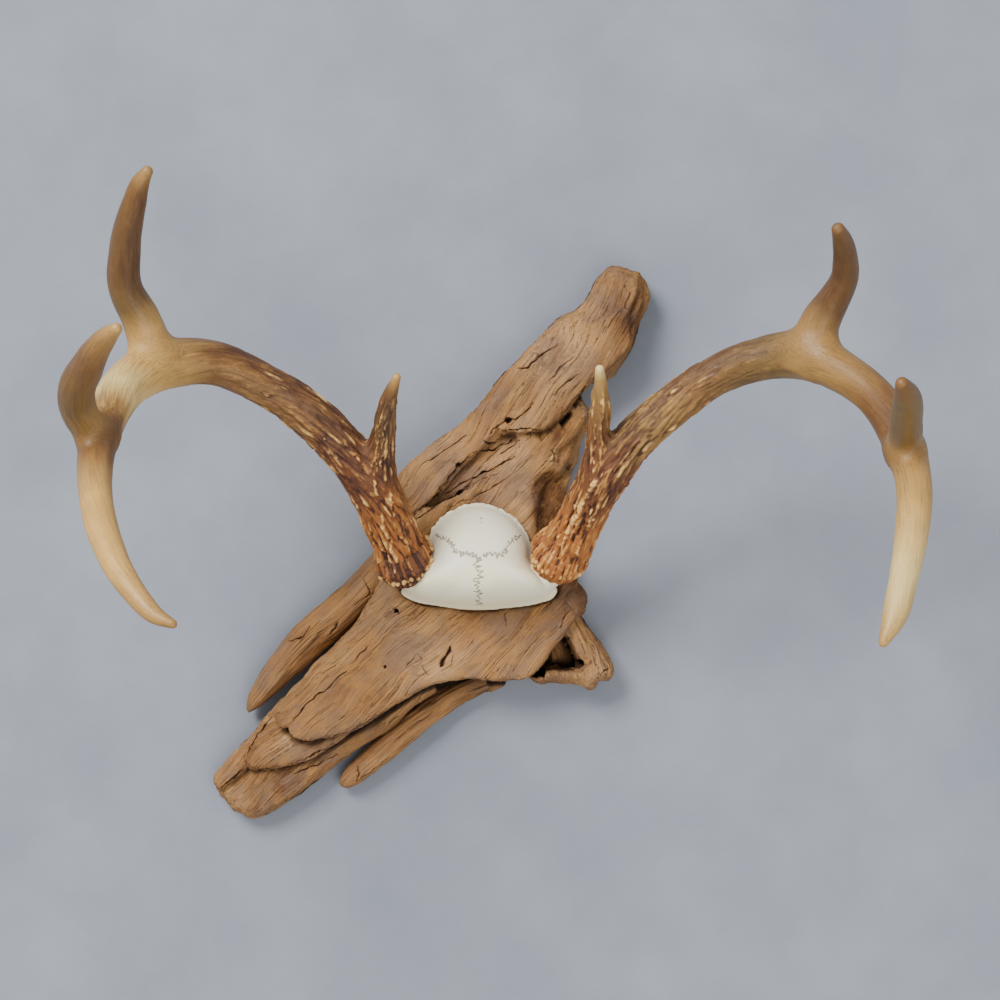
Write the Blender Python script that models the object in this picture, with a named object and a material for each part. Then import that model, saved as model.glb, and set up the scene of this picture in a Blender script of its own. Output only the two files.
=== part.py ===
"""A deer's antlers on their sawn skull cap, mounted on a piece of driftwood.

Metres, +Z up. The wood lies on its flat back at z = 0 and the antlers rise in +Z. +X runs across the
two antlers and +Y from the wood's foot to its head. The origin is under the middle of the skull cap.
"""

import math

import bmesh
import bpy
from mathutils import Matrix, Vector

MM = 0.001
GAP = 0.3 * MM  # left between pieces that touch
ROOM = 2 * GAP  # how much a cutter is grown: on slopes and corners it clears less than this

ANTLER_SIDES = 12
CURVE_STEPS = 2  # rings between two stations of a branch
ANTLER_TAN = (0.56, 0.42, 0.26)
ANTLER_BROWN = (0.36, 0.22, 0.12)
BONE_CREAM = (0.80, 0.77, 0.68)
WOOD_BROWN = (0.30, 0.19, 0.11)
WOOD_GREY = (0.26, 0.19, 0.14)
PINE = (0.62, 0.48, 0.30)
ZINC = (0.62, 0.63, 0.65)

# Each branch is a list of (x, y, z, radius) in millimetres, from its root to its tip.
LEFT_ANTLER = {
    "main_beam": [
        (-48, -1, 55, 16), (-49, 1, 58, 20), (-54, 14, 68, 16), (-64, 42, 98, 16), (-72, 56, 110, 15),
        (-91, 81, 129, 14), (-137, 116, 155, 13), (-166, 128, 170, 14), (-194, 126, 187, 15.5),
        (-212, 115, 208, 14.5), (-224, 85, 247, 12), (-222, 47, 292, 10), (-210, 16, 325, 9),
        (-193, -9, 348, 7), (-177, -24, 360, 5), (-168, -28, 364, 2),
    ],
    "brow_tine": [
        (-69, 47, 100, 8.5), (-64, 57, 112, 9), (-62, 71, 125, 8.5), (-59, 93, 147, 6.5),
        (-53, 112, 164, 4), (-49, 121, 171, 1.5),
    ],
    "g2_tine": [
        (-199, 122, 186, 12.5), (-201, 134, 192, 13), (-207, 153, 200, 12), (-215, 173, 215, 10.5),
        (-213, 193, 231, 9.5), (-204, 221, 253, 7), (-194, 238, 267, 3),
    ],
    "g3_tine": [
        (-225, 80, 252, 10), (-231, 87, 268, 10.5), (-234, 100, 285, 11), (-225, 117, 310, 10),
        (-214, 129, 333, 7.5), (-200, 139, 354, 3),
    ],
}
RIGHT_ANTLER = {
    "main_beam": [
        (54, 1, 54, 16), (55, 4, 57, 19.5), (62, 15, 68, 16), (69, 30, 84, 14.5), (82, 55, 110, 15),
        (102, 81, 129, 13.5), (151, 120, 155, 12.5), (178, 130, 170, 13.5), (205, 132, 187, 15.5),
        (225, 121, 208, 13), (243, 105, 228, 12), (256, 76, 258, 12), (258, 47, 292, 10.5),
        (253, 24, 316, 10), (246, 2, 338, 8.5), (235, -29, 358, 6), (230, -39, 364, 2),
    ],
    "brow_tine": [
        (81, 49, 103, 8.5), (78, 61, 115, 8.5), (78, 86, 136, 7), (79, 101, 148, 6.5),
        (79, 113, 158, 4.5), (78, 126, 172, 1.5),
    ],
    "g2_tine": [
        (206, 127, 187, 12.5), (209, 136, 192, 13.5), (214, 152, 198, 12.5), (221, 165, 207, 10),
        (226, 177, 219, 8.5), (225, 188, 233, 7.5), (221, 198, 249, 6), (216, 205, 265, 3),
    ],
    "g3_tine": [
        (256, 70, 262, 9.5), (255, 77, 275, 10), (252, 88, 300, 9.5), (249, 99, 325, 8.5),
        (244, 105, 347, 5), (241, 108, 355, 2),
    ],
}

# The skull cap, seen from the front: its rim clockwise from the lower left corner, in millimetres.
CAP_RIM = [
    (-51, -22), (-47, -10), (-41, -4), (-36, 4), (-35, 14), (-28, 26), (-16, 35), (0, 39),
    (16, 35), (28, 26), (35, 14), (37, 2), (42, -6), (49, -11), (54, -20), (49, -26),
    (29, -30), (0, -33), (-25, -31), (-43, -27),
]
CAP_HEIGHT = 36
CAP_WALL = 4.5
CAP_TILT = math.radians(4)  # the lower rim stands this much off the wood
DOME_RINGS = 6
PEDICLES = {
    "left": ((-41, -11, 50, 11), (-47.6, -2.5, 55, 14)),
    "right": ((46, -9, 50, 11), (53.5, 1, 54.5, 14.5)),
}

# The wood's main pieces, seen from the front: an outline, its back and front heights and its rounding.
TRUNK = [
    (-32, 72), (-50, 54), (-61, 28), (-68, 1), (-66, -24), (-88, -48), (-98, -64), (-63, -99),
    (-33, -86), (2, -80), (33, -80), (46, -69), (57, -52), (66, -33), (68, 1), (66, 42),
    (68, 69), (72, 89), (70, 108), (14, 108),
]
TRUNK_FRONT = 38
UPPER_LIMB = [
    (-22, 80), (-3, 101), (15, 123), (41, 151), (56, 165), (70, 172), (76, 182), (82, 193),
    (94, 201), (110, 196), (116, 185), (111, 165), (104, 145), (91, 126), (77, 110), (70, 82), (15, 60),
]
LOWER_END_LAYERS = {
    "layered_lower_end": (
        [(-66, -24), (-86, -47), (-117, -80), (-137, -101), (-134, -109), (-126, -118), (-105, -121),
         (-83, -112), (-48, -93), (-40, -60)], 20, 42, 7,
    ),
    "middle_tongue": (
        [(-103, -65), (-131, -94), (-147, -110), (-158, -128), (-154, -141), (-143, -142), (-121, -137),
         (-86, -115), (-63, -101), (-45, -84)], 10, 31, 6,
    ),
    "bottom_lobe": (
        [(-126, -88), (-154, -119), (-181, -152), (-178, -163), (-166, -175), (-148, -176), (-132, -167),
         (-106, -147), (-82, -129), (-57, -112), (-36, -92), (-60, -70)], 0, 22, 6,
    ),
}
RIGHT_STUB = [
    (50, -30), (60, -28), (71, -38), (90, -68), (92, -76), (84, -82), (77, -90), (64, -85),
    (47, -82), (42, -78), (53, -58),
]
LEFT_PRONG = [
    (-58, 4, 13, 11), (-74, -15, 13, 12), (-95, -36, 13.5, 13), (-115, -53, 13, 12.5), (-136, -75, 12, 9.5),
    (-149, -91, 11, 7), (-157, -102, 10, 3),
]
THIN_PRONG = [
    (7, -84, 10, 6), (-16, -94, 9.5, 7.5), (-40, -110, 9.5, 8.5), (-61, -127, 9.5, 8.5), (-80, -143, 9, 7.5),
    (-91, -152, 8.5, 5.5),
]
SMALL_KNOB = (66, -27, 31, 9.5)

# What holds the cap and hangs the wood is behind, out of sight.
BLOCK_INSET = 6.5
SCREW_PLACES = {"upper": (0, 16), "lower": (0, -12)}
SCREW_PROFILE = [(4, 1), (4, 1.6), (2, 4.2), (2, 49), (0.5, 53)]  # (radius, height), head at the back
HANGER_CENTRE = (18, 76)
HANGER_SIZE = (40, 9, 0.8)
HANGER_BACK = 1.2
HANGER_TEETH = 9
TOOTH_DEPTH = 1.6
NAIL_SPREAD = 17
NAIL_PROFILE = [(2, 0.3), (2, 0.9), (0.8, 0.95), (0.8, 14), (0.2, 16)]
ROUND_SIDES = 16


def clear_scene():
    for obj in list(bpy.data.objects):
        bpy.data.objects.remove(obj)


def finish(name, colour, roughness, metallic=0.0):
    """A plain Principled material."""
    material = bpy.data.materials.new(name)
    material.use_nodes = True
    surface = material.node_tree.nodes["Principled BSDF"]
    surface.inputs["Base Color"].default_value = (*colour, 1)
    surface.inputs["Roughness"].default_value = roughness
    surface.inputs["Metallic"].default_value = metallic
    return material


def add_object(name, bm, material=None):
    """Closes off a bmesh as a smooth-shaded object. With no material it is a hidden cutter."""
    bmesh.ops.remove_doubles(bm, verts=bm.verts, dist=0.01 * MM)
    bmesh.ops.recalc_face_normals(bm, faces=bm.faces)
    mesh = bpy.data.meshes.new(name)
    bm.to_mesh(mesh)
    bm.free()
    mesh.shade_smooth()
    mesh.set_sharp_from_angle(angle=math.radians(50))
    obj = bpy.data.objects.new(name, mesh)
    bpy.context.scene.collection.objects.link(obj)
    if material:
        mesh.materials.append(material)
    else:
        obj.hide_render = True
        obj.display_type = "WIRE"
    return obj


def branch(name, stations, material=None, grow=0.0):
    """A tapering round branch along a smooth curve through its stations."""
    curve = bpy.data.curves.new(name + "_line", "CURVE")
    curve.dimensions = "3D"
    curve.resolution_u = CURVE_STEPS
    curve.bevel_depth = 1.0
    curve.bevel_resolution = (ANTLER_SIDES - 4) // 2
    curve.use_fill_caps = True
    spline = curve.splines.new("BEZIER")
    spline.bezier_points.add(len(stations) - 1)
    for point, (x, y, z, radius) in zip(spline.bezier_points, stations):
        point.co = Vector((x, y, z)) * MM
        point.radius = radius * MM + grow
        point.handle_left_type = point.handle_right_type = "AUTO"
    line = bpy.data.objects.new(name + "_line", curve)
    bpy.context.scene.collection.objects.link(line)
    graph = bpy.context.evaluated_depsgraph_get()
    bm = bmesh.new()
    bm.from_mesh(bpy.data.meshes.new_from_object(line.evaluated_get(graph)))
    bpy.data.objects.remove(line)
    return add_object(name, bm, material)


def skin(bm, outline, levels):
    """Stacks copies of an outline, each (scale about the Z axis, height), and closes both ends."""
    verts = [bm.verts.new(Vector((x, y, 0)) * MM) for x, y in outline]
    edges = [bm.edges.new(pair) for pair in zip(verts, verts[1:] + verts[:1])]
    height = 0.0
    scale = 1.0
    for step, (new_scale, new_height) in enumerate(levels):
        if step:
            made = bmesh.ops.extrude_edge_only(bm, edges=edges)["geom"]
            verts = [item for item in made if isinstance(item, bmesh.types.BMVert)]
            ring = set(verts)
            edges = [item for item in made if isinstance(item, bmesh.types.BMEdge) and ring.issuperset(item.verts)]
        ratio = new_scale / scale
        bmesh.ops.scale(bm, verts=verts, vec=(ratio, ratio, 1))
        bmesh.ops.translate(bm, verts=verts, vec=(0, 0, (new_height - height) * MM))
        if step in (0, len(levels) - 1):
            bmesh.ops.contextual_create(bm, geom=edges)
        scale, height = new_scale, new_height
    return edges


def slab(name, outline, back, front, rounding, material=None):
    """A flat-backed piece of wood: its outline given a thickness, with its front edge rounded."""
    bm = bmesh.new()
    front_edges = skin(bm, outline, [(1, back), (1, front)])
    bmesh.ops.recalc_face_normals(bm, faces=bm.faces)
    bmesh.ops.bevel(
        bm, geom=front_edges, offset=rounding * MM, offset_type="OFFSET", segments=3, profile=0.5,
        affect="EDGES", clamp_overlap=True, material=-1,
    )
    return add_object(name, bm, material)


def turned(name, profile, place, material=None, grow=0.0):
    """A round piece along Z from (radius, height) pairs."""
    circle = [
        (math.cos(math.tau * step / ROUND_SIDES), math.sin(math.tau * step / ROUND_SIDES))
        for step in range(ROUND_SIDES)
    ]
    bm = bmesh.new()
    levels = [(radius + grow / MM, height) for radius, height in profile]
    levels[0] = (levels[0][0], levels[0][1] - grow / MM)
    levels[-1] = (levels[-1][0], levels[-1][1] + grow / MM)
    skin(bm, circle, levels)
    bmesh.ops.translate(bm, verts=bm.verts, vec=Vector((*place, 0)) * MM)
    return add_object(name, bm, material)


def combine(obj, other, operation):
    """Adds or cuts away another object with an exact Boolean."""
    modifier = obj.modifiers.new(f"{operation.lower()} {other.name}", "BOOLEAN")
    modifier.object = other
    modifier.operation = operation
    modifier.solver = "EXACT"


def grown(obj):
    """A hidden copy of a piece, a little larger all round, that cuts a neighbour with a gap."""
    graph = bpy.context.evaluated_depsgraph_get()
    bm = bmesh.new()
    bm.from_mesh(bpy.data.meshes.new_from_object(obj.evaluated_get(graph)))
    bm.normal_update()
    moves = [(vert, vert.normal * ROOM) for vert in bm.verts]
    for vert, move in moves:
        vert.co += move
    return add_object(obj.name + "_grown", bm)


def make_antler(side, branches, tan, brown):
    """One antler: the main beam with its burr, and three tines that grow out of it."""
    branch(f"{side}_main_beam", branches["main_beam"], brown)
    beam_room = branch(f"{side}_beam_room", branches["main_beam"], grow=ROOM)
    for tine in ("brow_tine", "g2_tine", "g3_tine"):
        combine(branch(f"{side}_{tine}", branches[tine], tan), beam_room, "DIFFERENCE")
    return beam_room


def dome(name, inset, material=None, skirt=0.0):
    """The cap's closed dome on the wood's front, drawn in by an inset, on a straight skirt if one is given."""
    base = TRUNK_FRONT + GAP / MM
    height = CAP_HEIGHT - inset
    levels = [(1, base - skirt)] if skirt else []
    for ring in range(DOME_RINGS):
        angle = math.pi / 2 * ring / DOME_RINGS
        levels.append((math.cos(angle) ** 0.7, base + height * math.sin(angle)))
    levels.append((0.12, base + height))
    shrink = 1 - inset / max(abs(x) for x, _ in CAP_RIM)
    bm = bmesh.new()
    skin(bm, [(x * shrink, y * shrink) for x, y in CAP_RIM], levels)
    return add_object(name, bm, material)


def lean_cap(obj):
    """Turns a piece of the cap so that its lower rim stands off the wood, hinged on the upper rim."""
    top = Vector((0, max(y for _, y in CAP_RIM), TRUNK_FRONT)) * MM
    turn = Matrix.Translation(top) @ Matrix.Rotation(-CAP_TILT, 4, "X") @ Matrix.Translation(-top)
    obj.data.transform(turn)


def make_cap(beam_rooms, bone):
    """The sawn skull cap: a thin shell with a pedicle under each burr."""
    cap = dome("skull_cap", 0, bone)
    hollow = dome("cap_hollow", CAP_WALL, skirt=CAP_WALL)
    for piece in (cap, hollow):
        lean_cap(piece)
    for side, ends in PEDICLES.items():
        combine(cap, branch(f"{side}_pedicle", ends), "UNION")
    combine(cap, hollow, "DIFFERENCE")
    for room in beam_rooms:
        combine(cap, room, "DIFFERENCE")


def make_wood(wood, grey):
    """The driftwood, split at its main forks. Each smaller piece is cut clear of the ones before it."""
    trunk = slab("driftwood_trunk", TRUNK, 0, TRUNK_FRONT, 7, wood)
    trunk_room = grown(trunk)
    limb = slab("upper_limb", UPPER_LIMB, 0, 40, 12, wood)
    combine(limb, trunk_room, "DIFFERENCE")
    lower_end, *layers = [
        slab(name, *sizes, wood if name == "layered_lower_end" else None)
        for name, sizes in LOWER_END_LAYERS.items()
    ]
    for layer in layers:
        combine(lower_end, layer, "UNION")
    combine(lower_end, trunk_room, "DIFFERENCE")
    stub = slab("right_stub", RIGHT_STUB, 0, 30, 6, wood)
    combine(stub, trunk_room, "DIFFERENCE")
    prong = branch("left_prong", LEFT_PRONG, grey)
    combine(prong, trunk_room, "DIFFERENCE")
    thin = branch("thin_prong", THIN_PRONG, grey)
    bpy.context.view_layer.update()
    for room in (trunk_room, grown(lower_end)):
        combine(thin, room, "DIFFERENCE")
    bm = bmesh.new()
    *centre, radius = SMALL_KNOB
    place = Matrix.Translation(Vector(centre) * MM)
    bmesh.ops.create_icosphere(bm, subdivisions=2, radius=radius * MM, matrix=place)
    knob = add_object("small_knob", bm, wood)
    bpy.context.view_layer.update()
    for room in (trunk_room, grown(stub)):
        combine(knob, room, "DIFFERENCE")
    return trunk


def make_block(pine):
    """The carved block that fills the cap's hollow and takes the screws."""
    block = dome("mounting_block", BLOCK_INSET, pine)
    for name, place in SCREW_PLACES.items():
        hole = turned(f"{name}_pilot_hole", SCREW_PROFILE, place, grow=GAP)
        combine(block, hole, "DIFFERENCE")
    return block


def make_screws(trunk, zinc):
    """Two countersunk wood screws, from the back of the trunk into the block."""
    for name, place in SCREW_PLACES.items():
        turned(f"{name}_screw", SCREW_PROFILE, place, zinc)
        hole = [(4 + GAP / MM, -2), *SCREW_PROFILE[1:]]
        combine(trunk, turned(f"{name}_screw_hole", hole, place, grow=GAP), "DIFFERENCE")


def make_hanger(trunk, zinc):
    """A sawtooth hanger in a shallow recess, with two nails."""
    width, height, thickness = HANGER_SIZE
    left, low = HANGER_CENTRE[0] - width / 2, HANGER_CENTRE[1] - height / 2
    pitch = width / 2 / HANGER_TEETH
    teeth = []
    for tooth in range(HANGER_TEETH):
        start = left + width / 4 + tooth * pitch
        teeth += [(start, low), (start + pitch / 2, low + TOOTH_DEPTH)]
    outline = [
        (left, low), *teeth, (left + 3 * width / 4, low), (left + width, low),
        (left + width, low + height), (left, low + height),
    ]
    bm = bmesh.new()
    skin(bm, outline, [(1, HANGER_BACK), (1, HANGER_BACK + thickness)])
    plate = add_object("sawtooth_hanger", bm, zinc)
    margin = 2
    recess = [
        (left - margin, low - margin), (left + width + margin, low - margin),
        (left + width + margin, low + height + margin), (left - margin, low + height + margin),
    ]
    bm = bmesh.new()
    skin(bm, recess, [(1, -1), (1, HANGER_BACK + thickness + GAP / MM)])
    combine(trunk, add_object("hanger_recess", bm), "DIFFERENCE")
    for side, offset in (("left", -NAIL_SPREAD), ("right", NAIL_SPREAD)):
        place = (HANGER_CENTRE[0] + offset, HANGER_CENTRE[1] + 1)
        turned(f"{side}_hanger_nail", NAIL_PROFILE, place, zinc)
        shank = NAIL_PROFILE[2:]
        hole = turned(f"{side}_nail_hole", shank, place, grow=GAP)
        for piece in (plate, trunk):
            combine(piece, hole, "DIFFERENCE")


def main():
    clear_scene()
    tan = finish("antler_tan", ANTLER_TAN, 0.5)
    brown = finish("antler_brown", ANTLER_BROWN, 0.55)
    antlers = {"left": LEFT_ANTLER, "right": RIGHT_ANTLER}
    rooms = [make_antler(side, branches, tan, brown) for side, branches in antlers.items()]
    make_cap(rooms, finish("bone_cream", BONE_CREAM, 0.45))
    trunk = make_wood(finish("driftwood_brown", WOOD_BROWN, 0.85), finish("driftwood_grey", WOOD_GREY, 0.9))
    make_block(finish("pine", PINE, 0.7))
    zinc = finish("zinc", ZINC, 0.35, 1.0)
    make_screws(trunk, zinc)
    make_hanger(trunk, zinc)


main()
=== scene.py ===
"""The looks of a deer's antlers on their skull cap, mounted on driftwood. Metres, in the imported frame."""

import logging
import math
from dataclasses import dataclass, field
from enum import Enum
from typing import Callable, ClassVar, Sequence

import bmesh
import bpy
import numpy as np
from mathutils import Matrix, Vector


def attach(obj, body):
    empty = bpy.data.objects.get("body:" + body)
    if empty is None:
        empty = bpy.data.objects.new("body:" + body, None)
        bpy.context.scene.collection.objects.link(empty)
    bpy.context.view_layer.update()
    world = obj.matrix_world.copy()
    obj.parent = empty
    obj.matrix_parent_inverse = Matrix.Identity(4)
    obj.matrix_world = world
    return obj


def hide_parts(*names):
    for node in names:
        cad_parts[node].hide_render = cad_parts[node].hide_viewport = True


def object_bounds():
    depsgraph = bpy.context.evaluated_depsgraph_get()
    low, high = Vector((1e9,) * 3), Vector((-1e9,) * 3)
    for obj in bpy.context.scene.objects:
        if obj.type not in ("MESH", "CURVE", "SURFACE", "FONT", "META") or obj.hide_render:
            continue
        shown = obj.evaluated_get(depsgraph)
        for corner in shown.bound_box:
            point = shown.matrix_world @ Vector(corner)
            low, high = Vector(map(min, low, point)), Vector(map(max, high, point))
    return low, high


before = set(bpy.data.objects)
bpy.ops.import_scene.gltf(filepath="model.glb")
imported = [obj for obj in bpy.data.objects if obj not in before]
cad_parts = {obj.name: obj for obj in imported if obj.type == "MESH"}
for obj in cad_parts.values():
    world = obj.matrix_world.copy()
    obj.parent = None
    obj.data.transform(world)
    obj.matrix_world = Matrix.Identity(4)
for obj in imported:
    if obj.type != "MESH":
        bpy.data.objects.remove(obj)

CAD_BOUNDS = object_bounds()
MM = 0.001
MERGE_WITHIN = 0.01 * MM
ROWS_AT_ONCE = 20_000
log = logging.getLogger("antler_mount")

Colour = tuple[float, float, float]
Points = Sequence[tuple[float, float]]
Stations = Sequence[tuple[float, float, float, float]]
Reader = Callable[[np.ndarray], np.ndarray]
Socket = bpy.types.NodeSocket


def srgb(red: float, green: float, blue: float) -> Colour:
    """Turns a colour as a paint chart gives it into the linear one that shaders take."""
    return tuple(c / 12.92 if c <= 0.04045 else ((c + 0.055) / 1.055) ** 2.4 for c in (red, green, blue))


# ---------------------------------------------------------------- shader graphs


class Value:
    """A shader socket that takes part in Python arithmetic."""

    def __init__(self, graph: "Graph", socket: Socket) -> None:
        """Wraps one output socket of a graph."""
        self.graph = graph
        self.socket = socket

    def __add__(self, other: "Value | float") -> "Value":
        """Adds."""
        return self.graph.math("ADD", self, other)

    __radd__ = __add__

    def __sub__(self, other: "Value | float") -> "Value":
        """Subtracts."""
        return self.graph.math("SUBTRACT", self, other)

    def __rsub__(self, other: "Value | float") -> "Value":
        """Subtracts from a plain number."""
        return self.graph.math("SUBTRACT", other, self)

    def __mul__(self, other: "Value | float") -> "Value":
        """Multiplies."""
        return self.graph.math("MULTIPLY", self, other)

    __rmul__ = __mul__

    def clamped(self) -> "Value":
        """Keeps the value between 0 and 1."""
        return self.graph.math("MINIMUM", self.graph.math("MAXIMUM", self, 0.0), 1.0)

    def between(self, low: float, high: float) -> "Value":
        """Eases from 0 at one value to 1 at another.

        Args:
            low: Where the result is 0.
            high: Where the result is 1.

        Returns:
            The eased value.
        """
        settings = {"interpolation_type": "SMOOTHSTEP"}
        node = self.graph.add("ShaderNodeMapRange", settings, {0: self, 1: low, 2: high})
        return Value(self.graph, node.outputs[0])


class Graph:
    """One material's node tree around its Principled surface."""

    def __init__(self, name: str) -> None:
        """Makes a material with an empty Principled surface.

        Args:
            name: The material's name.
        """
        self.material = bpy.data.materials.new(name)
        self.material.use_nodes = True
        self.tree = self.material.node_tree
        self.surface = self.tree.nodes["Principled BSDF"]

    def add(self, kind: str, settings: dict | None = None, inputs: dict | None = None) -> bpy.types.Node:
        """Adds any node.

        Args:
            kind: The node's type name.
            settings: Its properties, and "stops" for a ramp's (position, colour) pairs.
            inputs: Values or links for its input sockets, by name or index.

        Returns:
            The new node.
        """
        node = self.tree.nodes.new(kind)
        for name, setting in (settings or {}).items():
            if name != "stops":
                setattr(node, name, setting)
                continue
            ramp = node.color_ramp
            while len(ramp.elements) < len(setting):
                ramp.elements.new(1.0)
            for element, (position, colour) in zip(ramp.elements, setting):
                element.position = position
                element.color = (*colour, 1.0)
        for key, value in (inputs or {}).items():
            self.feed(node.inputs[key], value)
        return node

    def feed(self, socket: Socket, value: object) -> None:
        """Sets an input socket to a number or colour, or links it.

        Args:
            socket: The input socket.
            value: The number, colour, value or link.
        """
        if isinstance(value, Value):
            value = value.socket
        if isinstance(value, Socket):
            self.tree.links.new(value, socket)
        elif socket.type == "RGBA" and len(value) == 3:
            socket.default_value = (*value, 1.0)
        else:
            socket.default_value = value

    def set(self, **inputs: object) -> None:
        """Feeds the surface's sockets, named with underscores for spaces."""
        for name, value in inputs.items():
            self.feed(self.surface.inputs[name.replace("_", " ")], value)

    def math(self, operation: str, *values: "Value | float") -> Value:
        """Adds one Math node over values and numbers."""
        node = self.add("ShaderNodeMath", {"operation": operation}, dict(enumerate(values)))
        return Value(self, node.outputs[0])

    def attribute(self, name: str) -> Value:
        """Reads one of the piece's own number attributes."""
        return Value(self, self.add("ShaderNodeAttribute", {"attribute_name": name}).outputs["Fac"])

    def vector_attribute(self, name: str) -> Socket:
        """Reads one of the piece's own vector or colour attributes."""
        return self.add("ShaderNodeAttribute", {"attribute_name": name}).outputs["Vector"]

    def position(self) -> Socket:
        """Gives the place on the piece, in metres."""
        return self.add("ShaderNodeTexCoord").outputs["Object"]

    def stretched(self, vector: Socket, scale: Colour) -> Socket:
        """Scales a vector along each axis."""
        node = self.add("ShaderNodeVectorMath", {"operation": "MULTIPLY"}, {0: vector, 1: scale})
        return node.outputs[0]

    def noise(
        self, vector: Socket, scale: float, detail: float = 3.0, rough: float = 0.55
    ) -> Value:
        """Smooth noise over a vector, about 0 to 1.

        Args:
            vector: The coordinates.
            scale: How many features there are to one unit.
            detail: How many finer layers are added.
            rough: How strong the finer layers are.

        Returns:
            The noise value.
        """
        inputs = {"Vector": vector, "Scale": scale, "Detail": detail, "Roughness": rough}
        return Value(self, self.add("ShaderNodeTexNoise", None, inputs).outputs["Fac"])

    def mix(self, first: object, second: object, factor: object, blend: str = "MIX") -> Socket:
        """Mixes two colours.

        Args:
            first: The colour at factor 0.
            second: The colour at factor 1, or the one that is blended in.
            factor: A number or a value.
            blend: The blend type.

        Returns:
            The mixed colour.
        """
        settings = {"data_type": "RGBA", "blend_type": blend}
        return self.add("ShaderNodeMix", settings, {0: factor, 6: first, 7: second}).outputs[2]

    def mottled(self, colour: object, level: Value, share: float) -> Socket:
        """Darkens and lightens a colour by a level around 1.

        Args:
            colour: The colour.
            level: What it is multiplied by.
            share: How much of that shows.

        Returns:
            The uneven colour.
        """
        grey = self.add("ShaderNodeCombineColor", None, dict.fromkeys(range(3), level)).outputs[0]
        return self.mix(colour, grey, share, "MULTIPLY")

    def ramp(self, value: Value, stops: Sequence[tuple[float, Colour]]) -> Socket:
        """Turns a value into a colour through a list of stops."""
        return self.add("ShaderNodeValToRGB", {"stops": stops}, {0: value}).outputs[0]

    def bump(self, height: Value, depth: float) -> Socket:
        """Turns a height of 0 to 1, which stands for a depth in metres, into a normal."""
        inputs = {"Height": height, "Distance": depth, "Strength": 1.0}
        return self.add("ShaderNodeBump", None, inputs).outputs[0]


# ---------------------------------------------------------------- mesh helpers


class Noise:
    """Seeded smooth gradient noise over points, about -1 to 1."""

    SLOPES: ClassVar[int] = 256
    GAIN: ClassVar[float] = 1.7
    LAYER_SHIFT: ClassVar[float] = 17.3

    def __init__(self, seed: int) -> None:
        """Draws the gradients and their order.

        Args:
            seed: What they are drawn from.
        """
        draw = np.random.default_rng(seed)
        slopes = draw.normal(size=(self.SLOPES, 3))
        self.slopes = slopes / np.linalg.norm(slopes, axis=1, keepdims=True)
        self.order = draw.permutation(self.SLOPES)

    def at(self, points: np.ndarray) -> np.ndarray:
        """Gives the noise at an array of points.

        Args:
            points: The points.

        Returns:
            One number for each point.
        """
        cell = np.floor(points).astype(np.int64)
        inside = points - cell
        ease = inside**3 * (inside * (inside * 6 - 15) + 10)
        total = np.zeros(len(points))
        for corner in np.ndindex(2, 2, 2):
            key = np.zeros(len(points), np.int64)
            for axis in range(3):
                key = self.order[(key + cell[:, axis] + corner[axis]) % self.SLOPES]
            weight = np.prod(np.where(corner, ease, 1 - ease), axis=1)
            total += weight * np.einsum("ij,ij->i", self.slopes[key], inside - corner)
        return total * self.GAIN

    def layered(self, points: np.ndarray, layers: int = 3) -> np.ndarray:
        """Adds finer and weaker layers of the noise."""
        shift = self.LAYER_SHIFT
        return sum(self.at(points * 2**layer + shift * layer) / 2**layer for layer in range(layers))


def eased(values: np.ndarray, low: float, high: float) -> np.ndarray:
    """Eases from 0 at one value to 1 at another."""
    part = np.clip((values - low) / (high - low), 0, 1)
    return part * part * (3 - 2 * part)


def unit(vectors: np.ndarray) -> np.ndarray:
    """Scales each row to a length of 1."""
    return vectors / np.maximum(np.linalg.norm(vectors, axis=-1, keepdims=True), 1e-12)


def passed(line: np.ndarray) -> np.ndarray:
    """Gives the distance run along a line at each of its corners."""
    return np.concatenate([[0.0], np.cumsum(np.linalg.norm(np.diff(line, axis=0), axis=1))])


def smooth_line(stations: np.ndarray, spacing: float) -> np.ndarray:
    """Samples a smooth curve through stations, any further columns with it.

    Args:
        stations: One row for each station, its place first.
        spacing: The distance between samples.

    Returns:
        One row for each sample.
    """
    places = stations[:, : min(3, stations.shape[1])]
    chords = np.linalg.norm(np.diff(places, axis=0), axis=1)
    at = passed(places)
    slopes = np.gradient(stations, at, axis=0)
    samples = np.linspace(0, at[-1], int(at[-1] / spacing) + 2)
    start = np.clip(np.searchsorted(at, samples, "right") - 1, 0, len(chords) - 1)
    step = chords[start][:, None]
    part = (samples - at[start])[:, None] / step
    ends = (stations[start], stations[start + 1])
    leaves = (slopes[start] * step, slopes[start + 1] * step)
    square, cube = part**2, part**3
    return (
        (2 * cube - 3 * square + 1) * ends[0] + (cube - 2 * square + part) * leaves[0]
        + (3 * square - 2 * cube) * ends[1] + (cube - square) * leaves[1]
    )


def rounded_outline(points: Points, spacing: float) -> np.ndarray:
    """Samples a smooth closed outline through points in millimetres, in metres.

    Args:
        points: The points, in order round it.
        spacing: The distance between samples, in metres.

    Returns:
        One row for each sample.
    """
    closed = np.array([*points[-2:], *points, *points[:3]], float) * MM
    line = smooth_line(closed, spacing)
    start, end = closed[2], closed[-3]
    first = int(np.argmin(np.linalg.norm(line[: len(line) // 2] - start, axis=1)))
    last = len(line) // 2 + int(np.argmin(np.linalg.norm(line[len(line) // 2 :] - end, axis=1)))
    return line[first:last]


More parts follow.
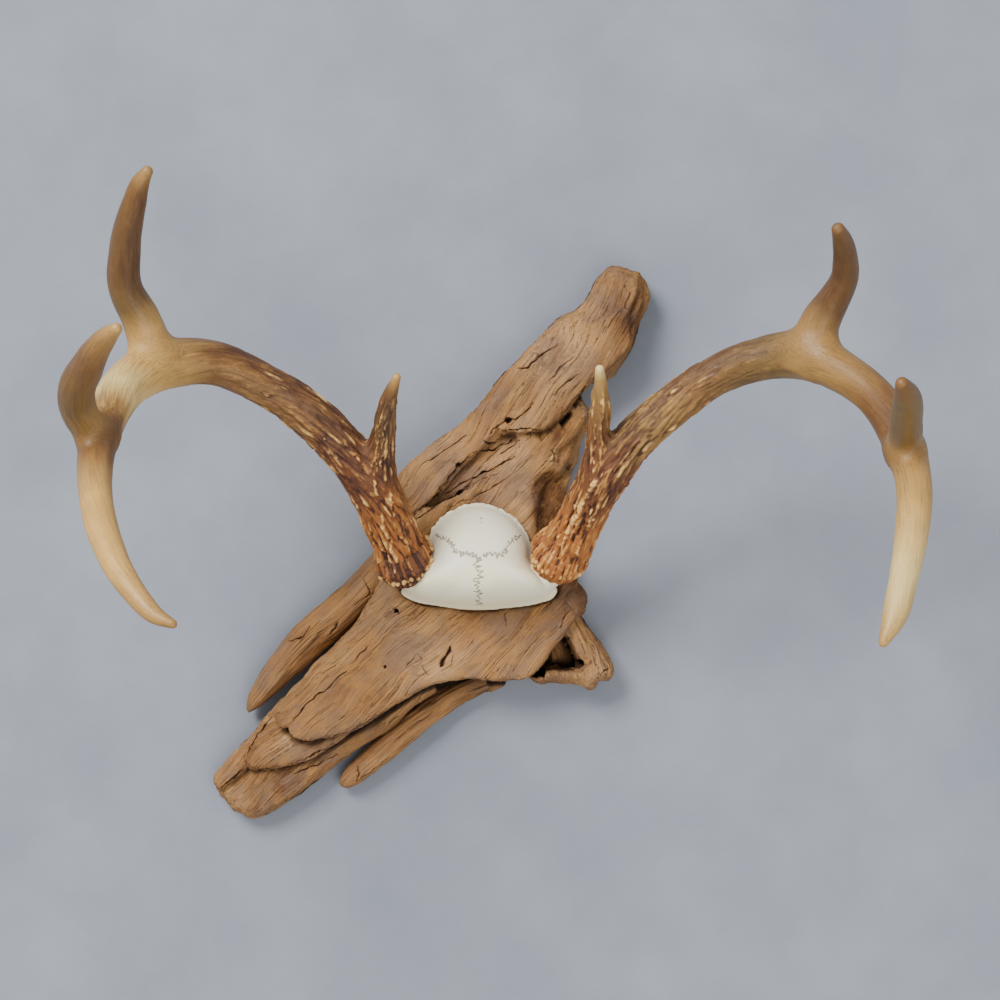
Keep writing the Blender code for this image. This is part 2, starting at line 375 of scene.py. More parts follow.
def to_line(places: np.ndarray, line: np.ndarray) -> tuple[np.ndarray, np.ndarray]:
    """Measures places against a line of straight stretches.

    Args:
        places: The places.
        line: The line's corners.

    Returns:
        The distance to the line, and the share of its length at the nearest point.
    """
    best = np.full(len(places), np.inf)
    share = np.zeros(len(places))
    steps = np.linalg.norm(np.diff(line, axis=0), axis=1)
    total = steps.sum()
    before = 0.0
    for start, end, step in zip(line[:-1], line[1:], steps):
        way = end - start
        part = np.clip((places - start) @ way / max(step * step, 1e-12), 0, 1)
        apart = np.linalg.norm(places - start - part[:, None] * way, axis=1)
        nearer = apart < best
        best = np.where(nearer, apart, best)
        share = np.where(nearer, (before + part * step) / total, share)
        before += step
    return best, share


def drawn_out(bm: bmesh.types.BMesh, edges: list) -> tuple[list, list]:
    """Extrudes a ring of edges.

    Args:
        bm: Their mesh.
        edges: The ring.

    Returns:
        The new ring's vertices, still in the old ring's places, and its edges.
    """
    grown = bmesh.ops.extrude_edge_only(bm, edges=edges)["geom"]
    verts = [item for item in grown if isinstance(item, bmesh.types.BMVert)]
    ring = set(verts)
    return verts, [e for e in grown if isinstance(e, bmesh.types.BMEdge) and ring.issuperset(e.verts)]


class Piece:
    """A mesh object on its way to being a finished piece."""

    def __init__(self, name: str, bm: bmesh.types.BMesh, merge: bool = True) -> None:
        """Closes off a bmesh as an object at the origin.

        Args:
            name: The piece's name.
            bm: Its mesh.
            merge: Whether vertices in one place become one.
        """
        if merge:
            bmesh.ops.remove_doubles(bm, verts=bm.verts, dist=MERGE_WITHIN)
        bmesh.ops.recalc_face_normals(bm, faces=bm.faces)
        mesh = bpy.data.meshes.new(name)
        bm.to_mesh(mesh)
        bm.free()
        self.object = bpy.data.objects.new(name, mesh)
        bpy.context.scene.collection.objects.link(self.object)

    @property
    def mesh(self) -> bpy.types.Mesh:
        """The piece's mesh."""
        return self.object.data

    @property
    def triangles(self) -> int:
        """How many triangles the piece has."""
        return sum(len(polygon.vertices) - 2 for polygon in self.mesh.polygons)

    def modify(self, kind: str, **settings: object) -> None:
        """Adds a modifier and applies it.

        Args:
            kind: The modifier's type.
            settings: Its properties.
        """
        modifier = self.object.modifiers.new(kind.lower(), kind)
        for name, setting in settings.items():
            setattr(modifier, name, setting)
        graph = bpy.context.evaluated_depsgraph_get()
        done = bpy.data.meshes.new_from_object(self.object.evaluated_get(graph))
        self.object.modifiers.clear()
        old = self.object.data
        self.object.data = done
        bpy.data.meshes.remove(old)

    def remesh(self, voxel: float) -> None:
        """Skins everything again as one closed surface of even small faces."""
        self.modify("REMESH", mode="VOXEL", voxel_size=voxel)

    @property
    def points(self) -> np.ndarray:
        """The vertices' places, one row each."""
        return self._rows(self.mesh.vertices, "co")

    @points.setter
    def points(self, places: np.ndarray) -> None:
        """Moves the vertices."""
        self.mesh.vertices.foreach_set("co", places.astype(np.float32).ravel())
        self.mesh.update()

    @property
    def normals(self) -> np.ndarray:
        """The vertices' normals, one row each."""
        return self._rows(self.mesh.vertex_normals, "vector")

    def _rows(self, items: bpy.types.bpy_prop_collection, key: str) -> np.ndarray:
        """Reads a vector from each vertex.

        Args:
            items: The mesh's vertices or normals.
            key: The vector's name.

        Returns:
            One row for each vertex.
        """
        flat = np.empty(len(items) * 3, np.float32)
        items.foreach_get(key, flat)
        return flat.reshape(-1, 3).astype(float)

    def store(self, name: str, values: np.ndarray) -> None:
        """Stores numbers, or vectors, with the vertices for the material to read.

        Args:
            name: The attribute's name.
            values: One number or row for each vertex.
        """
        kind, key = ("FLOAT", "value") if values.ndim == 1 else ("FLOAT_VECTOR", "vector")
        attribute = self.mesh.attributes.new(name, kind, "POINT")
        attribute.data.foreach_set(key, values.astype(np.float32).ravel())

    def settle(self, rounds: int, strength: float = 0.5) -> None:
        """Evens the surface out."""
        self.modify("SMOOTH", factor=strength, iterations=rounds)

    def refine(self, chosen: np.ndarray) -> None:
        """Halves the faces between chosen vertices.

        Args:
            chosen: Whether each vertex is chosen.
        """
        bm = bmesh.new()
        bm.from_mesh(self.mesh)
        bm.verts.ensure_lookup_table()
        edges = [edge for edge in bm.edges if chosen[edge.verts[0].index] and chosen[edge.verts[1].index]]
        bmesh.ops.subdivide_edges(bm, edges=edges, cuts=1, use_grid_fill=True)
        bmesh.ops.triangulate(bm, faces=[face for face in bm.faces if len(face.verts) > 4])
        bm.to_mesh(self.mesh)
        bm.free()

    def thin(self, most: int) -> None:
        """Merges the faces that matter least, where there are more triangles than a piece may have."""
        if self.triangles > most:
            self.modify("DECIMATE", ratio=most / self.triangles)

    def finish(self, material: bpy.types.Material, slot: str, nodes: Sequence[str]) -> None:
        """Dresses the piece and puts it in place of CAD nodes.

        Args:
            material: The finish.
            slot: The record's material slot, which is not used.
            nodes: The CAD nodes that it stands for.
        """
        self.mesh.materials.clear()
        self.mesh.materials.append(material)
        self.mesh.shade_smooth()
        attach(self.object, "root")
        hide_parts(*nodes)
        log.info("%s: %d triangles, for %s", self.object.name, self.triangles, ", ".join(nodes))


# ---------------------------------------------------------------- branches


class Tube:
    """A tapering round branch along a smooth centreline."""

    SPACING: ClassVar[float] = 2 * MM
    RING_SPACING: ClassVar[float] = 5 * MM
    SIDES: ClassVar[int] = 20
    TIP_ANGLES: ClassVar[tuple[float, ...]] = (25.0, 48.0, 68.0, 82.0)
    LEAST_RADIUS: ClassVar[float] = 0.8 * MM

    def __init__(self, stations: Stations) -> None:
        """Takes (x, y, z, radius) stations in millimetres.

        Args:
            stations: The branch's stations, from its root.
        """
        samples = smooth_line(np.array(stations, float) * MM, self.SPACING)
        self.places, self.radii = samples[:, :3], np.maximum(samples[:, 3], self.LEAST_RADIUS)
        self.along = passed(self.places)
        self.length = float(self.along[-1])
        self.tangents = unit(np.gradient(self.places, axis=0))
        self.tapers = np.gradient(self.radii, self.along)
        self.sides = np.empty_like(self.places)
        side = np.array([0.0, 0.0, 1.0])
        for index, tangent in enumerate(self.tangents):
            side = side - tangent * (side @ tangent)
            side = side / np.linalg.norm(side)
            self.sides[index] = side
        self.ups = np.cross(self.tangents, self.sides)

    def add_to(self, bm: bmesh.types.BMesh) -> None:
        """Adds the closed tube to a bmesh, ring by ring, with a round tip.

        Args:
            bm: The bmesh.
        """
        step = max(1, int(self.RING_SPACING / self.SPACING))
        last = len(self.places) - 1
        rings = [self._ring_matrix(index, 0.0) for index in [*range(0, last, step), last]]
        rings += [self._ring_matrix(last, math.radians(lift)) for lift in self.TIP_ANGLES]
        before = rings[0]
        made = bmesh.ops.create_circle(bm, segments=self.SIDES, radius=1.0, matrix=before)
        edges = list({edge for vert in made["verts"] for edge in vert.link_edges})
        bmesh.ops.contextual_create(bm, geom=edges)
        for after in rings[1:]:
            verts, edges = drawn_out(bm, edges)
            bmesh.ops.transform(bm, matrix=after @ before.inverted(), verts=verts)
            before = after
        bmesh.ops.contextual_create(bm, geom=edges)

    def _ring_matrix(self, index: int, lift: float) -> Matrix:
        """Places a circle of radius 1 as a ring.

        Args:
            index: The sample it goes round.
            lift: How far up the round tip's quarter circle it stands.

        Returns:
            The matrix.
        """
        radius = self.radii[index] * math.cos(lift)
        axes = [self.sides[index] * radius, self.ups[index] * radius, self.tangents[index] * radius]
        centre = self.places[index] + self.tangents[index] * self.radii[index] * math.sin(lift)
        return Matrix([*np.stack([*axes, centre], axis=1).tolist(), (0, 0, 0, 1)])

    def read(self, points: np.ndarray) -> "TubeReading":
        """Measures points against the branch.

        Args:
            points: The points.

        Returns:
            Their place on the branch.
        """
        index = np.empty(len(points), np.int64)
        squares = (self.places**2).sum(1)
        for start in range(0, len(points), ROWS_AT_ONCE):
            some = points[start : start + ROWS_AT_ONCE]
            square = (some**2).sum(1)[:, None] + squares - 2 * some @ self.places.T
            index[start : start + ROWS_AT_ONCE] = (np.sqrt(np.maximum(square, 0)) - self.radii).argmin(1)
        offset = points - self.places[index]
        slide = np.einsum("ij,ij->i", offset, self.tangents[index])
        behind = np.where(index == 0, -slide, -1.0)
        slide = np.clip(slide, -self.SPACING, self.SPACING)
        slide = np.where(index == 0, np.maximum(slide, 0), slide)
        slide = np.where(index == len(self.places) - 1, np.minimum(slide, 0), slide)
        radial = offset - slide[:, None] * self.tangents[index]
        reach = np.linalg.norm(radial, axis=1)
        outward = radial / np.maximum(reach, 1e-9)[:, None]
        gap = reach - self.radii[index] - slide * self.tapers[index]
        return TubeReading(
            gap=np.maximum(gap, behind),
            outward=np.where((behind > gap)[:, None], -self.tangents[0], outward),
            along=self.along[index] + slide,
            cosine=np.einsum("ij,ij->i", outward, self.sides[index]),
            sine=np.einsum("ij,ij->i", outward, self.ups[index]),
            radius=self.radii[index],
        )


@dataclass
class TubeReading:
    """Where points lie on a branch: their gap to its surface and their place along and around it."""

    gap: np.ndarray
    outward: np.ndarray
    along: np.ndarray
    cosine: np.ndarray
    sine: np.ndarray
    radius: np.ndarray

    def flow(self, length: float, width: float, twist: float = 0.0) -> np.ndarray:
        """Noise coordinates that run with the branch.

        Args:
            length: The size of a feature along the branch.
            width: The size of a feature around it.
            twist: How far the pattern turns round the branch, in radians to the metre.

        Returns:
            One row for each point.
        """
        turn = self.along * twist
        cosine = self.cosine * np.cos(turn) - self.sine * np.sin(turn)
        sine = self.cosine * np.sin(turn) + self.sine * np.cos(turn)
        size = self.radius / width
        return np.stack([self.along / length, cosine * size, sine * size], axis=1)


def merged(readings: Sequence[TubeReading], reach: float) -> tuple[np.ndarray, np.ndarray]:
    """Blends branches into one surface with rounded forks.

    Args:
        readings: The same points measured against each branch.
        reach: How far a fork's rounding reaches.

    Returns:
        The points' gap to the blended surface, and the way out of it.
    """
    gap, outward = readings[0].gap, readings[0].outward
    for other in readings[1:]:
        share = np.clip(0.5 + 0.5 * (other.gap - gap) / reach, 0, 1)
        gap = other.gap * (1 - share) + gap * share - reach * share * (1 - share)
        outward = unit(other.outward * (1 - share[:, None]) + outward * share[:, None])
    return gap, outward


# ---------------------------------------------------------------- antlers


class Tone(Enum):
    """The colours that an antler goes through from its burr to its tips."""

    ORANGE = srgb(0.66, 0.39, 0.15)
    RUST = srgb(0.42, 0.235, 0.105)
    BROWN = srgb(0.48, 0.33, 0.16)
    UMBER = srgb(0.41, 0.29, 0.15)
    OLIVE = srgb(0.45, 0.35, 0.18)
    TAN = srgb(0.61, 0.46, 0.24)
    SAND = srgb(0.70, 0.54, 0.29)
    IVORY = srgb(0.79, 0.62, 0.33)
    WHITE = srgb(0.88, 0.77, 0.50)


@dataclass(frozen=True)
class AntlerFinish:
    """Hard antler: ridged and stained near the burr, worn smooth and pale outside."""

    groove: Colour = srgb(0.22, 0.09, 0.04)
    stain: Colour = srgb(0.32, 0.19, 0.10)
    crest: Colour = srgb(0.82, 0.60, 0.30)
    pearl: Colour = srgb(0.90, 0.72, 0.43)
    speck: float = 650.0

    def material(self, name: str) -> bpy.types.Material:
        """Builds the material.

        Args:
            name: The material's name.

        Returns:
            A material that reads the antler's own attributes.
        """
        graph = Graph(name)
        relief = graph.attribute("relief")
        rough = graph.attribute("rough")
        place = graph.position()
        fibre = graph.vector_attribute("fibre")
        streaks = graph.noise(fibre, 1.0, 4.0, 0.6)
        fine = graph.noise(place, self.speck, 3.0, 0.6)
        broad = graph.noise(place, 55.0, 3.0, 0.6)
        colour = graph.vector_attribute("tone")
        streaked = streaks.between(0.52, 0.70) * (0.25 + 0.25 * rough)
        colour = graph.mix(colour, self.stain, streaked.clamped())
        stained = graph.attribute("stain") * streaks.between(0.30, 0.62)
        colour = graph.mix(colour, self.stain, stained.clamped())
        colour = graph.mix(colour, self.groove, (1 - relief.between(-0.95, -0.05)) * rough * 0.92)
        colour = graph.mix(colour, self.crest, (relief + (streaks - 0.5)).between(0.30, 1.10) * rough * 0.6)
        pearl = graph.attribute("pearl").between(0.22, 0.80)
        colour = graph.mix(colour, self.pearl, (pearl * (0.55 + 0.75 * broad)).clamped())
        colour = graph.mottled(colour, 0.56 + 0.44 * broad + 0.40 * fine, 0.85)
        graph.set(Base_Color=colour)
        graph.set(Roughness=(0.36 + 0.22 * rough + 0.2 * (fine - 0.5) + 0.12 * streaks).clamped())
        height = streaks * 0.6 + fine * 0.4
        graph.set(Normal=graph.bump(height, 0.45 * MM))
        graph.set(Specular_IOR_Level=0.5)
        return graph.material


@dataclass(frozen=True)
class Branch:
    """One branch of an antler: its stations in millimetres, and how rough and what colour it is there."""

    stations: tuple[tuple[float, float, float, float], ...]
    roughness: tuple[tuple[float, float], ...]
    tones: tuple[tuple[float, Tone], ...]
    pearls: int = 0
    pearl_reach: float = 0.35
    stain: tuple[tuple[float, float], ...] = ((0.0, 0.0), (1.0, 0.0))
    top: Colour = (0.0, 0.8, 0.6)

    def at(self, table: Points, part: np.ndarray) -> np.ndarray:
        """Reads a table of (share of the length, value) pairs."""
        shares, values = zip(*table)
        return np.interp(part, shares, values)

    def tone(self, part: np.ndarray) -> np.ndarray:
        """The base colour along the branch.

        Args:
            part: Shares of the branch's length.

        Returns:
            One colour for each share.
        """
        shares = [share for share, _ in self.tones]
        colours = np.array([tone.value for _, tone in self.tones])
        return np.stack([np.interp(part, shares, colours[:, channel]) for channel in range(3)], axis=1)


@dataclass(frozen=True)
class Welt:
    """A raised line, or a sunk one, on an antler's front: its line, half width and height in millimetres."""

    line: tuple[tuple[float, float], ...]
    width: float
    height: float
    pale: float = 0.0


@dataclass
class Antler:
    """One antler: a main beam with its burr, a brow tine and two more tines."""

    side: str
    beam: Branch
    tines: dict[str, Branch]
    seed: int
    welts: tuple[Welt, ...]
    voxel: float = 1.4 * MM
    fork_reach: float = 9 * MM
    blend: float = 2.5 * MM
    ridge: float = 0.95 * MM
    flute: float = 0.8 * MM
    twist: float = 9.0
    fit_rounds: int = 4
    refine_above: float = 0.35
    least_share: float = 0.004
    burr: float = 32 * MM
    bead_rows: tuple[tuple[float, int, float], ...] = ((0.8, 30, 1.0), (4.0, 32, 0.95), (7.5, 22, 0.7))
    bead_height: float = 2.4 * MM
    finish: AntlerFinish = field(default_factory=AntlerFinish)

    def build(self) -> None:
        """Builds the antler and puts it in place of its four CAD nodes."""
        branches = [self.beam, *self.tines.values()]
        tubes = [Tube(branch.stations) for branch in branches]
        bm = bmesh.new()
        for tube in tubes:
            tube.add_to(bm)
        piece = Piece(f"{self.side}_antler", bm)
        piece.remesh(self.voxel)
        self._fit(piece, tubes)
        readings = [tube.read(piece.points) for tube in tubes]
        shares = self._shares(readings)
        rough = sum(
            share * branch.at(branch.roughness, reading.along / tube.length)
            for branch, tube, reading, share in zip(branches, tubes, readings, shares)
        )
        piece.refine(rough > self.refine_above)
        outward = self._fit(piece, tubes)
        self._carve(piece, outward, branches, tubes)
        nodes = [f"{self.side}_main_beam", *(f"{self.side}_{tine}" for tine in self.tines)]
        piece.finish(self.finish.material(f"{self.side}_antler"), "antler", nodes)

    def _fit(self, piece: Piece, tubes: Sequence[Tube]) -> np.ndarray:
        """Moves the piece's points on to the blended branches.

        Args:
            piece: The antler.
            tubes: Its branches' centrelines.

        Returns:
            The way out at each point.
        """
        points = piece.points
        for _ in range(self.fit_rounds):
            gap, outward = merged([tube.read(points) for tube in tubes], self.fork_reach)
            points = points - outward * gap[:, None]
        piece.points = points
        return outward

    def _shares(self, readings: Sequence[TubeReading]) -> np.ndarray:
        """How much each branch has to say at each point.

        Args:
            readings: The same points measured against each branch.

        Returns:
            One row for each branch; each point's shares add up to 1.
        """
        gaps = np.stack([reading.gap for reading in readings])
        shares = np.exp(-(gaps - gaps.min(0)) / self.blend)
        return shares / shares.sum(0)

    def _carve(
        self, piece: Piece, outward: np.ndarray, branches: Sequence[Branch], tubes: Sequence[Tube]
    ) -> None:
        """Raises ridges, grooves and pearls, and stores what the finish reads.

        Args:
            piece: The antler.
            outward: The way out at each point.
            branches: Its branches.
            tubes: Their centrelines.
        """
        points = piece.points
        readings = [tube.read(points) for tube in tubes]
        names = ("height", "relief", "rough", "pearl", "stain")
        sums = {name: np.zeros(len(points)) for name in names}
        tone = np.zeros((len(points), 3))
        fibre = np.zeros((len(points), 3))
        shares = self._shares(readings)
        for number, (branch, tube, reading, share) in enumerate(zip(branches, tubes, readings, shares)):
            near = share > self.least_share
            found = self._relief(branch, tube, reading, near, number, outward)
            for name in names:
                sums[name][near] += share[near] * found[name]
            tone[near] += share[near, None] * found["tone"]
            fibre[near] += share[near, None] * found["fibre"]
        proud, pale = self._welts(outward, points)
        bead = self._beads(tubes[0], points)
        rim = shares[0] * (1 - eased(readings[0].along, 6 * MM, 11 * MM)) * (1 - eased(bead, 0.0, 0.35))
        sums["height"] += proud + bead * self.bead_height
        sums["relief"] += 0.5 * proud / MM + 1.6 * bead - 0.35 * rim
        sums["pearl"] = np.maximum.reduce([sums["pearl"] * (1 - rim), pale, 1.3 * bead])
        piece.points = points + outward * sums["height"][:, None]
        for name in names[1:]:
            piece.store(name, sums[name])
        piece.store("tone", tone)
        piece.store("fibre", fibre)

    def _relief(
        self, branch: Branch, tube: Tube, reading: TubeReading, near: np.ndarray, number: int,
        outward: np.ndarray,
    ) -> dict[str, np.ndarray]:
        """Works out one branch's relief and colour at the points near it.

        Args:
            branch: The branch.
            tube: Its centreline.
            reading: All points measured against it.
            near: Which points are near it.
            number: Its place among the antler's branches.
            outward: The way out at each of all points.

        Returns:
            What is stored or carved, by name, at the points near it.
        """
        local = TubeReading(**{name: values[near] for name, values in vars(reading).items()})
        part = local.along / tube.length
        rough = branch.at(branch.roughness, part)
        seeds = [self.seed + 10 * number + extra for extra in range(5)]
        lines = Noise(seeds[0]).layered(local.flow(42 * MM, 6.0 * MM, self.twist), 2)
        furrow = np.clip(np.abs(lines) * 2.7, 0, 1)
        sharp = Noise(seeds[1]).layered(local.flow(22 * MM, 3.0 * MM, self.twist), 3)
        crest = 1 - np.clip(np.abs(sharp) * 3.6, 0, 1)
        flutes = Noise(seeds[1] + 3).at(local.flow(75 * MM, 9 * MM, self.twist))
        lumps = Noise(seeds[2]).at(local.flow(16 * MM, 9 * MM))
        crumbs = Noise(seeds[3]).layered(local.flow(5 * MM, 1.8 * MM), 2)
        raised, moat = self._pearls(branch, tube, local, number)
        relief = 1.1 * furrow - 0.75 + 0.65 * crest * furrow + 0.40 * crumbs + 0.25 * flutes
        relief += 0.8 * raised - 1.0 * moat
        height = rough * (self.ridge * (furrow - 0.6 + 0.5 * crest + 0.35 * crumbs) + self.flute * flutes)
        height += (0.2 + 0.5 * rough) * MM * lumps + (1.35 * raised - 0.35 * moat) * MM
        patch = Noise(seeds[4]).layered(local.flow(60 * MM, 12 * MM), 2)
        facing = outward[near] @ unit(np.array(branch.top))
        stain = branch.at(branch.stain, part) * eased(facing + 0.5 * patch, -0.1, 0.7)
        tone = branch.tone(np.clip(part + 0.025 * patch, 0, 1))
        return {
            "height": height, "relief": relief, "rough": np.clip(rough, 0, 1),
            "pearl": raised * (0.7 + 0.5 * crumbs), "stain": stain,
            "tone": tone, "fibre": local.flow(22 * MM, 1.3 * MM, self.twist),
        }

    def _welts(self, outward: np.ndarray, points: np.ndarray) -> tuple[np.ndarray, np.ndarray]:
        """Raises the long welts on the antler's front.

        Args:
            outward: The way out at each point.
            points: The points.

        Returns:
            How far each point stands proud, and how pale it is.
        """
        wander = Noise(self.seed + 70)
        shifts = [wander.layered(points / (6 * MM) + start, 3) for start in (0.0, 30.0)]
        shift = 1.3 * MM * np.stack(shifts, axis=1)
        broken = np.clip(0.75 + 1.3 * wander.layered(points / (5 * MM) + 60, 2), 0, 1.15)
        proud = np.zeros(len(points))
        pale = np.zeros(len(points))
        facing = eased(outward[:, 2], -0.1, 0.3)
        for welt in self.welts:
            line = np.array(welt.line, float) * MM
            low, high = line.min(0) - 9 * MM, line.max(0) + 9 * MM
            close = np.flatnonzero(((points[:, :2] > low) & (points[:, :2] < high)).all(1))
            apart, _ = to_line(points[close, :2] + shift[close], line)
            shape = 1 - eased(apart, 0.1 * welt.width * MM, welt.width * MM)
            shape = shape * facing[close] * broken[close]
            proud[close] += welt.height * MM * shape
            pale[close] = np.maximum(pale[close], shape * welt.pale)
        return proud, pale

    def _pearls(
        self, branch: Branch, tube: Tube, local: TubeReading, number: int
    ) -> tuple[np.ndarray, np.ndarray]:
        """Scatters long and round pearls along a branch, each in a shallow moat.

        Args:
            branch: The branch.
            tube: Its centreline.
            local: The points near it, measured.
            number: Its place among the antler's branches.

        Returns:
            The pearls' height and the moats' depth, each from 0 to 1.
        """
        draw = np.random.default_rng(self.seed * 7 + number)
        angle = np.arctan2(local.sine, local.cosine)
        raised = np.zeros(len(angle))
        moat = np.zeros(len(angle))
        for _ in range(branch.pearls):
            at = 7 * MM + branch.pearl_reach * tube.length * draw.random() ** 2
            around = draw.uniform(-math.pi, math.pi)
            long, wide = draw.uniform(1.0, 3.8) ** 2 * MM, draw.uniform(0.7, 1.4) * MM
            size, lean = draw.uniform(0.3, 1.0), draw.uniform(-9, 9)
            near = np.flatnonzero(np.abs(local.along - at) < 1.8 * long)
            step = local.along[near] - at
            turn = (angle[near] - around - step * lean + math.pi) % math.tau - math.pi
            apart = (step / long) ** 2 + (turn * local.radius[near] / wide) ** 2
            raised[near] = np.maximum(raised[near], size * np.clip(1 - apart, 0, 1) ** 0.6)
            moat[near] = np.maximum(moat[near], size * np.clip(1 - np.abs(apart - 2.0) / 1.3, 0, 1))
        return raised, moat * (1 - raised)

    def _beads(self, tube: Tube, points: np.ndarray) -> np.ndarray:
        """Sets round beads in rows on the burr's rim: how high each point stands on one, from 0 to 1.

        Args:
            tube: The beam's centreline.
            points: The points.

        Returns:
            One number for each point.
        """
        draw = np.random.default_rng(self.seed * 7 + 90)
        bead = np.zeros(len(points))
        near = np.flatnonzero(np.linalg.norm(points - tube.places[1], axis=1) < self.burr)
        for row, count, size in self.bead_rows:
            for step in range(count):
                at = (row + draw.uniform(-1.3, 1.3)) * MM
                middle = np.array([np.interp(at, tube.along, column) for column in tube.places.T])
                around = math.tau * (step + draw.uniform(-0.4, 0.4)) / count
                spoke = math.cos(around) * tube.sides[1] + math.sin(around) * tube.ups[1]
                offset = points[near] - middle - spoke * np.interp(at, tube.along, tube.radii)
                long, wide = draw.uniform(1.5, 3.4) * size * MM, draw.uniform(1.2, 2.1) * size * MM
                axial = offset @ tube.tangents[1]
                apart = (axial / long) ** 2 + ((offset**2).sum(1) - axial**2) / wide**2
                height = draw.uniform(0.35, 1.0) * size
                bead[near] = np.maximum(bead[near], height * np.sqrt(np.clip(1 - apart, 0, 1)))
        return bead


BEAM_ROUGHNESS = (
    (0.0, 0.9), (0.02, 1.0), (0.22, 1.0), (0.34, 0.62), (0.45, 0.28), (0.52, 0.10), (0.66, 0.10),
    (0.75, 0.06), (1.0, 0.05),
)
G2_ROUGHNESS = ((0.0, 0.1), (1.0, 0.08))
G2_STAIN = ((0.0, 0.0), (0.3, 0.2), (0.5, 0.8), (0.85, 0.7), (1.0, 0.1))
G3_ROUGHNESS = ((0.0, 0.1), (1.0, 0.06))
G3_STAIN = ((0.0, 0.0), (0.3, 0.5), (0.7, 0.4), (1.0, 0.0))

LEFT_BEAM = Branch(
    stations=(
        (-48, -1, 55, 15), (-49, 1, 58, 18.5), (-51, 6, 61, 17), (-54, 14, 68, 16), (-59, 29, 84, 16),
        (-64, 42, 98, 15.8), (-72, 56, 110, 15), (-91, 81, 129, 14.2), (-111, 100, 141, 13.8),
        (-137, 116, 155, 13),
        (-166, 128, 170, 14), (-194, 126, 187, 15.5), (-212, 115, 208, 14.5), (-224, 85, 247, 12),
        (-222, 47, 292, 10), (-210, 16, 325, 9), (-193, -9, 348, 7), (-177, -24, 360, 4.8),
        (-168, -28, 364, 2.6),
    ),
    roughness=BEAM_ROUGHNESS,
    tones=(
        (0.0, Tone.RUST), (0.03, Tone.ORANGE), (0.10, Tone.ORANGE), (0.16, Tone.RUST), (0.22, Tone.RUST),
        (0.30, Tone.BROWN), (0.43, Tone.BROWN), (0.48, Tone.SAND), (0.53, Tone.IVORY), (0.59, Tone.WHITE),
        (0.63, Tone.SAND), (0.66, Tone.BROWN), (0.69, Tone.UMBER), (0.72, Tone.BROWN), (0.76, Tone.SAND),
        (0.80, Tone.IVORY), (0.90, Tone.IVORY), (0.95, Tone.SAND), (1.0, Tone.TAN),
    ),
    pearls=200,
    stain=(
        (0.0, 0.2), (0.11, 0.5), (0.17, 1.0), (0.42, 0.9), (0.50, 0.35), (0.60, 0.3), (0.66, 0.8),
        (0.72, 0.2),
        (1.0, 0.1),
    ),
    top=(0.3, 0.85, 0.4),
)
LEFT_TINES = {
    "brow_tine": Branch(
        stations=(
            (-69, 47, 100, 8.5), (-64, 57, 112, 9), (-62, 71, 125, 8.5), (-60, 83, 136, 7.6),
            (-58, 94, 147, 6.4),
            (-54, 109, 161, 4.6), (-50, 119, 169, 2.6),
        ),
        roughness=((0.0, 1.0), (0.5, 0.9), (0.8, 0.6), (0.93, 0.2), (1.0, 0.0)),
        tones=(
            (0.0, Tone.RUST), (0.3, Tone.RUST), (0.62, Tone.UMBER), (0.80, Tone.UMBER), (0.92, Tone.BROWN),
            (1.0, Tone.SAND),
        ),
        pearls=50, pearl_reach=0.75, stain=((0.0, 0.8), (0.4, 0.9), (0.85, 0.8), (0.95, 0.3), (1.0, 0.0)),
    ),
    "g2_tine": Branch(
        stations=(
            (-199, 122, 186, 12.5), (-201, 134, 192, 13), (-207, 153, 200, 12), (-215, 173, 215, 10.5),
            (-213, 193, 231, 9.6), (-204, 221, 253, 7.2), (-199, 232, 262, 5.4), (-195, 237, 266, 3.6),
        ),
        roughness=G2_ROUGHNESS,
        tones=(
            (0.0, Tone.TAN), (0.20, Tone.SAND), (0.34, Tone.OLIVE), (0.50, Tone.UMBER), (0.8, Tone.UMBER),
            (0.93, Tone.BROWN), (1.0, Tone.TAN),
        ),
        stain=G2_STAIN, top=(1.0, 0.1, 0.5),
    ),
    "g3_tine": Branch(
        stations=(
            (-225, 80, 252, 10), (-231, 87, 268, 10.5), (-234, 100, 285, 11), (-231, 109, 298, 10.8),
            (-225, 117, 310, 10), (-214, 129, 333, 7.5), (-205, 136, 347, 5), (-201, 138, 353, 3.4),
        ),
        roughness=G3_ROUGHNESS,
        tones=(
            (0.0, Tone.BROWN), (0.15, Tone.TAN), (0.35, Tone.OLIVE), (0.7, Tone.BROWN), (0.9, Tone.TAN),
            (1.0, Tone.SAND),
        ),
        stain=G3_STAIN, top=(-0.6, 0.2, 0.8),
    ),
}
LEFT_WELTS = (
    Welt(((-66, 54), (-63, 38), (-60.5, 23), (-57, 14), (-54.5, 5), (-55, -6)), 1.8, 1.8, 0.75),
    Welt(((-57.5, 45), (-56, 40.5)), 2.3, 2.2, 0.9),
    Welt(((-60, 44), (-54, 32), (-49.5, 19), (-45, 8)), 1.2, 1.2, 0.6),
    Welt(((-62, 62), (-60, 78), (-57, 92)), 1.0, 1.0, 0.6),
    Welt(((-66, 58), (-63.5, 74), (-60.5, 88)), 0.8, 0.8, 0.5),
    Welt(((-62, 8), (-60, 0), (-59, -6)), 3.2, -1.8),
    Welt(((-50, 30), (-46, 20), (-42, 12)), 1.6, -1.0),
    Welt(((-72, 60), (-82, 73), (-96, 84)), 1.6, -0.9),
)
